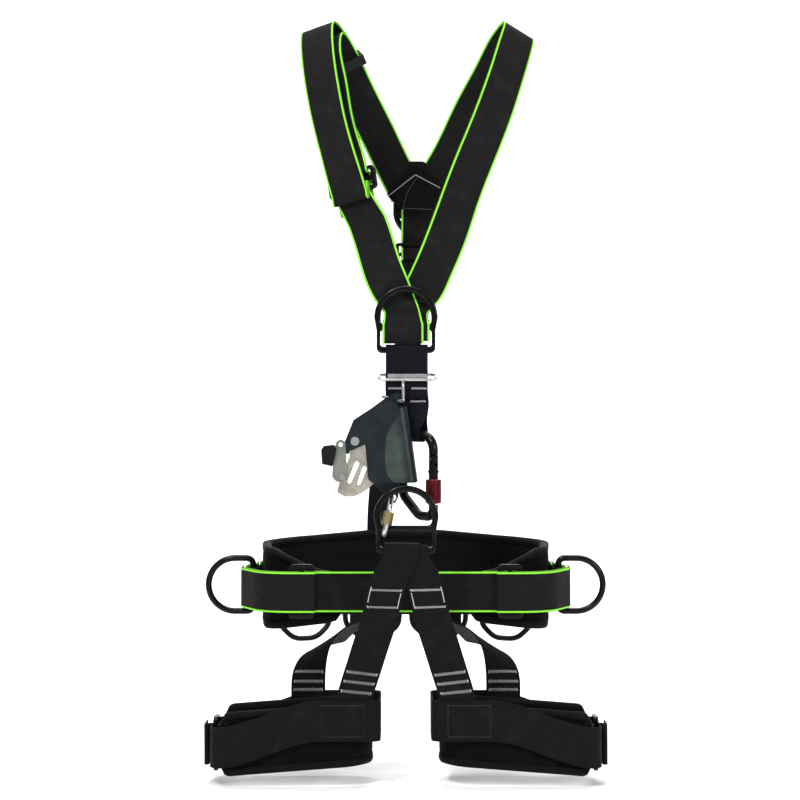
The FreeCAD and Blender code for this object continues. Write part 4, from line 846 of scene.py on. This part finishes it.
LEFT_LOWER = [
    (-42, 31.5, 308, 41, -12, 13), (-35.2, 26, 288, 41, -9, 14), (-27.5, 17.0, 261.5, 41.5, -4, 14),
    (-17.5, 10.6, 236, 42, -1, 13), (-9.0, 7.8, 219, 40, 0, 7), (-4.8, 2.1, 210.5, 38.5, 0, 3),
    (-3.8, -4.0, 204, 40, 0, 1), (-3.4, -7.2, 198.5, 42, 0, 0)]
route, route_radii = fixed_route(34.0)
anchor = flat(SHOULDER_ADJUSTER, s_along, s_out, s_across * 44.0, route, route_radii)
lower_run = anchor + smooth(stations(LEFT_LOWER), 110) + crossbar_loop(-3.2, 1)[::-1]
left_lower = Strap(lower_run, sag=0.2, seed=2.2).build(
    "shoulder_strap_left_lower_cloth", "webbing", ["shoulder_strap_left_lower"])

CARABINER = vec(12.9, -5.8, 0)
CARABINER_ALONG = unit(vec(0.7, -0.714, 0))
CARABINER_ACROSS = unit(vec(0.714, 0.7, 0))


def chest_strap_stations():
    """Over the chest ring's foot bar, down behind, round the carabiner's top, and up in front."""
    bar_z = CHEST_RING_Z - 43.5
    around, over = 5.4, bar_z + 4.9
    wide, narrow = X * 45.0, CARABINER_ALONG * 15.0
    points = [(116, 3.8), (150, 3.8), (bar_z - 6, around), (over, around), (over, -around),
              (bar_z - 6, -around), (146, -1.6), (128, -1.6)]
    top = flat(vec(0.8, 0, 0), Z, -Y, wide, points, [20, 20, 2.2, 2.2, 20, 20])
    bow = CARABINER + Z * 77.0
    radius = 6.4
    rear = [(vec(1.0, 1.8, 122), wide), (vec(3.5, 3.4, 108), vec(42, -5, 0)),
            (vec(10.5, 5.0, 95), vec(24, -19, 0)), (bow + CARABINER_ACROSS * (radius + 0.4) + Z * 5, narrow)]
    ring = []
    for step in range(17):
        angle = math.pi * step / 16
        spoke = CARABINER_ACROSS * math.cos(angle) - Z * math.sin(angle)
        ring.append((bow + spoke * radius, narrow))
    front = [(bow - CARABINER_ACROSS * (radius + 0.4) + Z * 5, narrow), (vec(5.5, -4.0, 94), vec(28, -14, 0)),
             (vec(2.2, -1.6, 106), vec(42, -3, 0)), (vec(0.8, -1.1, 118), wide), (vec(0.8, -1.1, 148), wide)]
    return top, smooth(rear, 40), ring, smooth(front, 60)


chest_runs = chest_strap_stations()
chest_strap = Strap(sum(chest_runs, []), nominal=45.0, sag=0.1).build(
    "chest_strap_cloth", "chest_webbing", ["chest_strap"])

route, route_radii = running_route(20.0)
back_points = [(-62, -0.6), (-40, -0.6), (-18, OVER_RAIL)] + route + [(2.0, FOLD_OUTER)]
Strap(flat(BACK_ADJUSTER, -Z, Y, X * 44.0, back_points, [20, 20] + route_radii), sag=0.1).build(
    "back_strap_upper_cloth", "webbing", ["back_strap_upper"])
route, route_radii = fixed_route(30.0)
BACK_RUN = [
    (16, 194.5, 254, 44, 0, 2), (11, 195.5, 225, 38, 0, 4), (-3, 198, 150, 29, 0, 5),
    (-20, 202, 70, 27, 0, 5), (-29, 205.5, 10, 27, 0, 2), (-31, 207.3, -34, 28, 0, 0),
    (-31, 207.3, -66, 28, 0, 0)]
back_run = flat(BACK_ADJUSTER, -Z, Y, X * 44.0, route, route_radii) + smooth(stations(BACK_RUN), 190)
Strap(back_run, sag=0.3, seed=3.3).build("back_strap_lower_cloth", "plain_webbing", ["back_strap_lower"])

# ------------------------------------------------------------ pads


def settle(obj, lift, pinned, frames=20):
    """Fills a padded piece with a short cloth run, holds its seams, and caps how far it moves."""
    rest = np.empty(len(obj.data.vertices) * 3)
    obj.data.vertices.foreach_get("co", rest)
    rest = rest.reshape(-1, 3)
    hold = pinned(rest / MM - Y * RING_LEAD)
    group = obj.vertex_groups.new(name="seams")
    for i, weight in enumerate(hold):
        if weight > 0.01:
            group.add([i], float(weight), "REPLACE")
    cloth = obj.modifiers.new("fill", "CLOTH")
    settings = cloth.settings
    settings.quality = 5
    settings.mass = 0.3
    settings.tension_stiffness = 25
    settings.compression_stiffness = 25
    settings.bending_stiffness = 0.6
    settings.use_pressure = True
    settings.uniform_pressure_force = 4.0
    settings.vertex_group_mass = "seams"
    settings.pin_stiffness = 1.0
    settings.effector_weights.gravity = 0.0
    cloth.collision_settings.use_collision = False
    for step in range(1, frames + 1):
        bpy.context.scene.frame_set(step)
    evaluated = obj.evaluated_get(bpy.context.evaluated_depsgraph_get())
    moved = np.empty(len(rest) * 3)
    evaluated.to_mesh().vertices.foreach_get("co", moved)
    moved = moved.reshape(-1, 3)
    evaluated.to_mesh_clear()
    obj.modifiers.clear()
    bpy.context.scene.frame_set(1)
    step = moved - rest
    size = np.linalg.norm(step, axis=1)
    cap = lift * MM
    step *= np.minimum(1.0, cap / np.maximum(size, 1e-9))[:, None]
    obj.data.vertices.foreach_set("co", (rest + step).ravel())
    obj.data.update()


def swept_pad(name, path, low, high, half, nodes, rows=15):
    """A pad standing on a plan path: low and high give its edges at each point of the path."""
    path, at = resample(path, 3.5)
    ahead = np.gradient(path, axis=0)
    side = np.cross(ahead, Z)
    side /= np.linalg.norm(side, axis=1)[:, None]
    vertices, faces = [], []
    ring = [(1, k / (rows - 1)) for k in range(rows)]
    ring += [(-1, t) for way, t in reversed(ring)]
    count = len(ring)
    for i, point in enumerate(path):
        end = min(at[i], at[-1] - at[i])
        slim = min(1.0, 0.72 + end / 18.0)
        for way, t in ring:
            z0, z1 = low(point), high(point)
            edge = min(t, 1 - t) * (z1 - z0)
            thick = half * slim * min(1.0, 0.42 + 0.58 * math.sqrt(min(1.0, edge / 9.0)))
            vertices.append(vec(point[0], point[1], z0 + (z1 - z0) * t) + side[i] * (way * thick))
    for i in range(len(path) - 1):
        for k in range(count):
            a, b = i * count, (i + 1) * count
            faces.append((a + k, a + (k + 1) % count, b + (k + 1) % count, b + k))
    for i in (0, len(path) - 1):
        for k in range(rows - 1):
            a = i * count
            faces.append((a + k, a + k + 1, a + count - 2 - k, a + count - 1 - k))
    obj = make_object(name, vertices, faces, "pad_cover")
    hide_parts(*nodes)
    return obj, path, side


def remesh(obj, size):
    """Even voxels all over a piece, which then has no material."""
    modifier = obj.modifiers.new("even", "REMESH")
    modifier.mode = "VOXEL"
    modifier.voxel_size = size * MM
    evaluated = obj.evaluated_get(bpy.context.evaluated_depsgraph_get())
    mesh = bpy.data.meshes.new_from_object(evaluated)
    obj.modifiers.clear()
    old = obj.data
    obj.data = mesh
    bpy.data.meshes.remove(old)
    mesh.materials.clear()


def quilt(obj, path, side, low, high, channels, depth, half):
    """Presses sewn channels into both faces and says which face each polygon is on."""
    mesh = obj.data
    co = np.empty(len(mesh.vertices) * 3)
    mesh.vertices.foreach_get("co", co)
    co = co.reshape(-1, 3) / MM - Y * RING_LEAD
    gap = ((co[:, None, :2] - path[None, :, :2]) ** 2).sum(2)
    near = gap.argmin(1)
    way = ((co - path[near]) * side[near]).sum(1)
    z0 = np.array([low(p) for p in path])[near]
    z1 = np.array([high(p) for p in path])[near]
    t = (co[:, 2] - z0) / (z1 - z0)
    press = np.zeros(len(co))
    for channel in channels:
        distance = np.abs(t - channel) * (z1 - z0)
        press = np.maximum(press, np.exp(-(distance / 2.2) ** 2))
    shift = -np.sign(way) * press * depth * np.clip(np.abs(way) / half, 0, 1)
    co += side[near] * shift[:, None]
    mesh.vertices.foreach_set("co", ((co + Y * RING_LEAD) * MM).ravel())
    mesh.update()
    return way


def two_faced(obj, way, outer, inner):
    """Outer cover on one side of the pad, lining on the other."""
    mesh = obj.data
    mesh.materials.append(MATERIALS[outer])
    mesh.materials.append(MATERIALS[inner])
    for polygon in mesh.polygons:
        mean = sum(way[v] for v in polygon.vertices) / len(polygon.vertices)
        polygon.material_index = 0 if mean > 0 else 1
    mesh.shade_smooth()


def subdivide(obj):
    modifier = obj.modifiers.new("fine", "SUBSURF")
    modifier.levels = modifier.render_levels = 1


def thicken(obj, thickness, offset):
    modifier = obj.modifiers.new("thick", "SOLIDIFY")
    modifier.thickness = thickness * MM
    modifier.offset = offset


# A binding tape's section: how far out from the pad's middle, and how far in from its edge.
TAPE = [(-1.0, 7.0), (-1.06, 2.0), (-0.75, -0.4), (0.0, -1.1), (0.75, -0.4), (1.06, 2.0), (1.0, 7.0)]


def strip_faces(rows, columns, base=0):
    """Four-sided faces between rows of points."""
    starts = [base + i * columns + k for i in range(rows - 1) for k in range(columns - 1)]
    return [(a, a + 1, a + columns + 1, a + columns) for a in starts]


def tape(name, runs):
    """Folded binding: each run is a list of rows, with a row's place along the tape and its points."""
    vertices, uvs, faces = [], [], []
    for rows in runs:
        faces += strip_faces(len(rows), len(TAPE), len(vertices))
        for along, points in rows:
            vertices += points
            uvs += [((k - 3) * 2.6, along) for k in range(len(TAPE))]
    obj = make_object(name, vertices, faces, "binding", uvs)
    thicken(obj, 0.8, 0.0)


def edge_tape(name, path, side, height, half, direction):
    """Binding along a pad's upper or lower edge."""
    lengths = np.concatenate([[0], np.cumsum(np.linalg.norm(np.diff(path, axis=0), axis=1))])
    rows = []
    for i, (x, y, _) in enumerate(path):
        z = height(path[i])
        section = [vec(x, y, z - direction * drop) + side[i] * (way * half) for way, drop in TAPE]
        rows.append((lengths[i], section))
    tape(name, [rows])


def end_tape(name, path, side, low, high, half):
    """Binding over both ends of a pad, from its low edge to its high edge."""
    runs = []
    for end, inward in ((0, path[4] - path[0]), (len(path) - 1, path[-5] - path[-1])):
        section = [path[end] + unit(inward) * drop + side[end] * (way * half) for way, drop in TAPE]
        heights = np.linspace(low(path[end]) - 0.6, high(path[end]) + 0.6, 16)
        runs.append([(z, [vec(spot[0], spot[1], z) for spot in section]) for z in heights])
    tape(name, runs)


def bound_pad(name, nodes, path, low, high, half, voxel, lift, held, channels, depth, pressed, bound):
    """A filled pad with sewn channels and bound edges; half, pressed and bound are half thicknesses."""
    obj, path, side = swept_pad(name + "_cloth", path, low, high, half, nodes)
    remesh(obj, voxel)
    settle(obj, lift, held)
    subdivide(obj)
    way = quilt(obj, path, side, low, high, channels, depth, pressed)
    two_faced(obj, way, "pad_cover", "pad_lining")
    edge_tape(name + "_top_tape", path, side, lambda p: high(p) + 0.4, bound, 1)
    edge_tape(name + "_low_tape", path, side, lambda p: low(p) - 0.4, bound, -1)
    return path, side


def round_off(distance, radius):
    """How far an edge has dropped at a distance from the rounded corner's end."""
    gap = radius - min(max(distance, 0.0), radius)
    return radius - math.sqrt(radius * radius - gap * gap)


def pad_low(point):
    low = -134.5
    if point[1] < 60.0:
        low = max(low, float(np.interp(abs(point[0]), [68, 76, 86, 150], [-113.0, -124.0, -127.0, -134.5])))
    return low


def pad_high(point):
    high = float(np.interp(abs(point[0]), [40, 106, 160], [-39.0, -45.0, -48.0]))
    if point[1] < 60.0:
        high = min(high, float(np.interp(abs(point[0]), [80, 104, 143, 150], [-75.0, -68.5, -48.5, -47.6])))
    return high


def pad_seams(co):
    """Held at the bound edges, free between them."""
    low = np.array([pad_low(p) for p in co])
    high = np.array([pad_high(p) for p in co])
    return np.clip(1.2 - np.minimum(co[:, 2] - low, high - co[:, 2]) / 12.0, 0, 1)


wing = [vec(WING_TIP_X + 1.0, WING_Y, 0), pad_side_point(WING_Y)]
bound_pad("waist_pad", ["waist_pad_cover", "waist_pad_foam", "waist_pad_lining"], pad_plan(wing), pad_low,
          pad_high, half=4.6, voxel=5.0, lift=1.0, held=pad_seams, channels=(0.36, 0.66), depth=1.6,
          pressed=5.0, bound=4.4)

LEG_PAD_TOP, LEG_PAD_TOP_X = -217.0, 122.0
LEG_PAD_TALL = 65.5
LEG_PAD_TILT = math.radians(4.4)
LEG_PAD_CORNER = 9.0


def leg_pad(side, name):
    """One leg pad: a U in plan, lower at the hip than at the crotch."""
    points = plan_points((LEG_OUTER_X, LEG_FRONT_Y), (LEG_INNER_X, LEG_FRONT_Y), (LEG_INNER_X, LEG_BACK_Y),
                         (LEG_OUTER_X, LEG_BACK_Y))
    path = np.array(rounded(points, [28, 28], 10))[::-1]
    path = path * vec(side, 1, 1)
    if side < 0:
        path = path[::-1]
    slope = lambda p: LEG_PAD_TOP - (abs(p[0]) - LEG_PAD_TOP_X) * math.tan(LEG_PAD_TILT)
    rounding = lambda p: round_off(LEG_OUTER_X - abs(p[0]), LEG_PAD_CORNER)
    top = lambda p: slope(p) - rounding(p)
    low = lambda p: slope(p) - LEG_PAD_TALL + rounding(p)

    def held(co):
        below = np.array([slope(p) for p in co]) - co[:, 2]
        edge = np.minimum(np.minimum(below, LEG_PAD_TALL - below), LEG_OUTER_X - np.abs(co[:, 0]))
        return np.clip(1.2 - edge / 10.0, 0, 1)

    track, normal = bound_pad("leg_pad_" + name, ["leg_covers", "leg_foams", "leg_linings"], path, low, top,
                              half=3.9, voxel=4.5, lift=0.9, held=held, channels=(0.5,), depth=1.3,
                              pressed=4.0, bound=3.8)
    end_tape("leg_pad_%s_end_tape" % name, track, normal, low, top, 3.6)


leg_pad(1, "right")
leg_pad(-1, "left")

# Back pad: a soft panel with a rounded outline.
PAD_OUTLINE = [(-24, 352), (-6, 372), (3, 391), (22, 391), (38, 371), (42, 357), (32, 331), (-5, 333)]


def back_pad():
    outline = [vec(x, 171.0, z) for x, z in PAD_OUTLINE]
    closed = outline[-1:] + outline + outline[:2]
    loop_points = []
    for i in range(1, len(outline) + 1):
        start, centre, end = corner(closed[i - 1], closed[i], closed[i + 1], 4.0)
        for t in (0.0, 0.25, 0.5, 0.75, 1.0):
            middle = closed[i] * 0.6 + (start + end) * 0.2
            loop_points.append(start * (1 - t) ** 2 + middle * (2 * t * (1 - t)) + end * t * t)
    centre = sum(loop_points) / len(loop_points)
    rings = [(1.0, 0.0), (0.995, 1.2), (0.96, 1.9), (0.85, 2.2), (0.6, 2.3), (0.3, 2.3)]
    vertices, faces = [], []
    layers = [(s, d) for s, d in reversed(rings)] + [(s, -d) for s, d in rings[1:]]
    for scale, depth in layers:
        for p in loop_points:
            vertices.append(centre + (p - centre) * scale + Y * depth)
    n = len(loop_points)
    for i in range(len(layers) - 1):
        for k in range(n):
            a, b = i * n, (i + 1) * n
            faces.append((a + k, a + (k + 1) % n, b + (k + 1) % n, b + k))
    faces.append(tuple(range(n))[::-1])
    faces.append(tuple((len(layers) - 1) * n + k for k in range(n)))
    obj = make_object("back_pad_cloth", vertices, faces, "pad_cover")
    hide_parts("back_pad")
    remesh(obj, 2.6)
    outline = np.array(loop_points)[:, ::2]

    def hold(co):
        gap = np.sqrt(((co[:, None, ::2] - outline[None]) ** 2).sum(2)).min(1)
        return np.clip(1.3 - gap / 6.0, 0, 1)

    settle(obj, 0.8, hold)
    obj.data.materials.append(MATERIALS["pad_cover"])
    obj.data.shade_smooth()
    subdivide(obj)
    front = 167.7
    seam = [(14, 371.8), (3.6, 356.1), (-1.6, 340.6), (-2.9, 329.5)]
    flap = [(-2.9, 336.0), (14.0, 335.0), (31.0, 334.2)]
    piping = [[(-20.5, 349.5), (11.4, 374.3)], [(11.4, 374.3), (40.0, 359.0)]]
    bend = lambda rows, count: [c for c, w in smooth([(vec(x, front, z), X) for x, z in rows], count)]
    wire("back_pad_seam", [bend(seam, 24), bend(flap, 16)], 0.4, "dark_thread")
    wire("back_pad_piping", [bend(rows, 16) for rows in piping], 0.6, "pale_piping", sides=8)


back_pad()

# ------------------------------------------------------------ stitching

pale, dark = [], []


def row_at_z(strap, z, first=0, last=None):
    """The row between first and last whose centre is nearest to a height."""
    last = len(strap.centres) if last is None else last
    return first + int(np.abs(strap.centres[first:last, 2] - z).argmin())


def outer_side(strap, row, direction):
    """The strap's face that looks in a direction, as 1 or -1."""
    return 1 if strap.normals[row] @ direction > 0 else -1


for strap, first in reversed(leg_fronts):
    rows = [row_at_z(strap, z, first) for z in (-84, -103)]
    face = outer_side(strap, rows[0], -Y)
    for row in rows:
        pale.append(tack_path(strap, row, -0.42, 0.42, 1.2, face, level=0.9))
    for across in (-0.42, 0.42):
        pale += seam_paths(strap, rows[0], rows[1], across, face, 2.2, 0.6)
    for z in (-177.6, -188.5, -199.0):
        pale.append(tack_path(strap, row_at_z(strap, z, first), -0.42, 0.42, 1.6, face, level=0.6))

for strap in risers:
    for z in (-186.6, -197.0, -206.5):
        row = row_at_z(strap, z)
        pale.append(tack_path(strap, row, -0.42, 0.42, 1.6, outer_side(strap, row, -Y), level=0.9))
    for z in (-112, -124):
        row = row_at_z(strap, z)
        dark.append(tack_path(strap, row, -0.42, 0.42, 1.2, outer_side(strap, row, -Y)))

front_start = len(Strap(sum(chest_runs[:3], [])).centres)
for z, a, b, first, last in ((126.0, -0.43, -0.10, 0, 20), (126.0, 0.12, 0.46, 0, 20),
                             (112.6, 0.08, 0.44, front_start, None)):
    row = row_at_z(chest_strap, z, first, last)
    pale.append(tack_path(chest_strap, row, a, b, 1.0, outer_side(chest_strap, row, -Y)))

for strap, first, last, level in ((right_shoulder, 40, 90, 222.0), (left_lower, 60, None, 226.0)):
    row = row_at_z(strap, level, first, last)
    dark.append(tack_path(strap, row, -0.40, 0.40, 1.2, outer_side(strap, row, -Y)))

for strap in (hip_right, hip_left):
    for y in (147.0, 139.0):
        row = int(np.abs(strap.centres[:60, 1] - y).argmin())
        face = outer_side(strap, row, vec(strap.centres[row][0], 0, 0))
        dark.append(tack_path(strap, row, -0.42, 0.42, 1.3, face))
    count = len(strap.centres)
    face = outer_side(strap, count - 4, vec(strap.centres[-1][0], 0, 0))
    for across in (-0.40, 0.40):
        dark += seam_paths(strap, count - 14, count - 2, across, face)

face = outer_side(rear_belt, len(rear_belt.centres) // 2, Y)
for across in (-0.42, -0.36, 0.36, 0.42):
    dark += seam_paths(rear_belt, 2, len(rear_belt.centres) - 3, across, face, 3.4, 1.2)

for strap in (leg_web_right, leg_web_left):
    sign = 1 if strap.centres[0][0] > 0 else -1
    rows = [i for i, c in enumerate(strap.centres) if c[1] < 0 and 44 < sign * c[0] < 90]
    face = outer_side(strap, rows[0], -Y)
    for across in (-0.38, 0.38):
        dark += seam_paths(strap, rows[0], rows[-1], across, face, 2.6, 0.9)
    for row in (rows[0], rows[-1]):
        dark.append(tack_path(strap, row, -0.38, 0.38, 1.0, face))

wire("pale_stitching", pale, 0.45, "pale_thread", sides=5)
wire("dark_stitching", dark, 0.32, "dark_thread", sides=5)

# ------------------------------------------------------------ gear loop patches


def patch(name, place, outward, node):
    """A small sewn patch over the end of a gear loop."""
    side = np.cross(Z, outward)
    tall, count = 16, 9
    profile = [(-7, 0.5), (-4.6, 1.6), (-3.2, 4.1), (0, 5.1), (3.2, 4.1), (4.6, 1.6), (7, 0.5)]
    vertices, uvs = [], []
    for drop in np.linspace(0, tall, count):
        vertices += [place + side * u + outward * (n - 4.4) + Z * (2 - drop) for u, n in profile]
        uvs += [(u, drop) for u, n in profile]
    obj = make_object(name, vertices, strip_faces(count, len(profile)), "plain_webbing", uvs)
    thicken(obj, 1.2, 1.0)
    subdivide(obj)
    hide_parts(node)


PATCH_Z = -121
PATCHES = [(6, 210, Y), (72, 210, Y), (88, 210, Y), (146.6, 188, vec(0.69, 0.724, 0))]
for tag, mirror in (("right", vec(1, 1, 1)), ("left", vec(-1, 1, 1))):
    for k, (x, y, outward) in enumerate(PATCHES):
        patch("gear_patch_%s_%d" % (tag, k), vec(x, y, PATCH_Z) * mirror, outward * mirror, "gear_loop_tabs")

# ------------------------------------------------------------ hard parts from the frame

HARD = {"ring": "black_steel", "adjuster": "black_steel", "back_plate": "black_steel", "gear_loops": "tube",
        "shoulder_keeper": "plastic", "ascender_frame": "green_alloy", "ascender_cam": "cam_steel",
        "cam_rivet": "steel", "cam_spring": "steel", "catch_grip": "plastic", "catch_pin": "steel",
        "catch": "grey_steel", "hanger": "steel", "quick_link": "steel", "link_nut": "gold_steel",
        "carabiner_sleeve": "red_alloy", "carabiner": "black_alloy", "gate_pin": "steel"}
ORDER = sorted(HARD, key=len, reverse=True)
for name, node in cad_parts.items():
    if node.hide_render:
        continue
    match = next(key for key in ORDER if key in name)
    node.data.materials.clear()
    node.data.materials.append(MATERIALS[HARD[match]])

# ------------------------------------------------------------ stage, light and camera, in metres


def area_light(name, place, target, size, energy):
    light = bpy.data.lights.new(name, "AREA")
    light.size = size
    light.energy = energy
    obj = bpy.data.objects.new(name, light)
    bpy.context.collection.objects.link(obj)
    obj.location = place
    direction = Vector(target) - Vector(place)
    obj.rotation_euler = direction.to_track_quat("-Z", "Y").to_euler()


def see_through_back(s):
    """The sheet's back is clear, so a camera behind the backdrop still sees the saddle."""
    side = s.tree.nodes.new("ShaderNodeNewGeometry")
    clear = s.tree.nodes.new("ShaderNodeBsdfTransparent")
    either = s.tree.nodes.new("ShaderNodeMixShader")
    choices = (side.outputs["Backfacing"], s.bsdf.outputs[0], clear.outputs[0])
    for value, socket in zip(choices, either.inputs):
        s.tree.links.new(value, socket)
    s.tree.links.new(either.outputs[0], s.output.inputs[0])


def floor():
    """Pale floor that curves up into a backdrop."""
    bend_y, radius, half_width, clearance = 1.6, 0.8, 6.0, 0.012
    turns = np.linspace(0.1, math.pi / 2, 12)
    profile = [(-4.0, 0.0), (bend_y, 0.0)]
    profile += [(bend_y + radius * math.sin(a), radius - radius * math.cos(a)) for a in turns]
    profile += [(bend_y + radius, 5.0)]
    base = cad_box[0].z - clearance
    vertices = [(x, y, base + z) for y, z in profile for x in (-half_width, half_width)]
    faces = [(2 * i, 2 * i + 1, 2 * i + 3, 2 * i + 2) for i in range(len(profile) - 1)]
    mesh = bpy.data.meshes.new("floor")
    mesh.from_pydata(vertices, [], faces)
    mesh.shade_smooth()
    s = Shader("floor")
    s.set(base_color=(0.86, 0.86, 0.86, 1), roughness=0.9)
    see_through_back(s)
    mesh.materials.append(s.material)
    obj = bpy.data.objects.new("floor", mesh)
    bpy.context.collection.objects.link(obj)


floor()
world = bpy.data.worlds.new("studio")
world.use_nodes = True
world.node_tree.nodes["Background"].inputs[0].default_value = (1, 1, 1, 1)
world.node_tree.nodes["Background"].inputs[1].default_value = 0.36
bpy.context.scene.world = world
area_light("key", (-0.9, -1.7, 1.9), (0, 0.05, 0.1), 0.45, 56)
area_light("fill", (1.5, -1.5, 0.7), (0, 0.05, 0.1), 0.5, 20)
area_light("rim", (0.4, 1.3, 1.7), (0, 0.1, 0.2), 0.8, 16)
area_light("backdrop", (0.0, 0.6, 2.6), (0, 2.2, 0.2), 2.2, 100)
bpy.context.scene.view_settings.view_transform = "Standard"

camera = bpy.data.cameras.new("camera")
camera.lens = 90.4
camera.sensor_width = 36
camera_object = bpy.data.objects.new("camera", camera)
bpy.context.collection.objects.link(camera_object)
camera_object.location = (-0.0064, -2.150 + RING_LEAD * MM, 0.1145)
camera_object.rotation_euler = (math.pi / 2, 0, 0)
bpy.context.scene.camera = camera_object
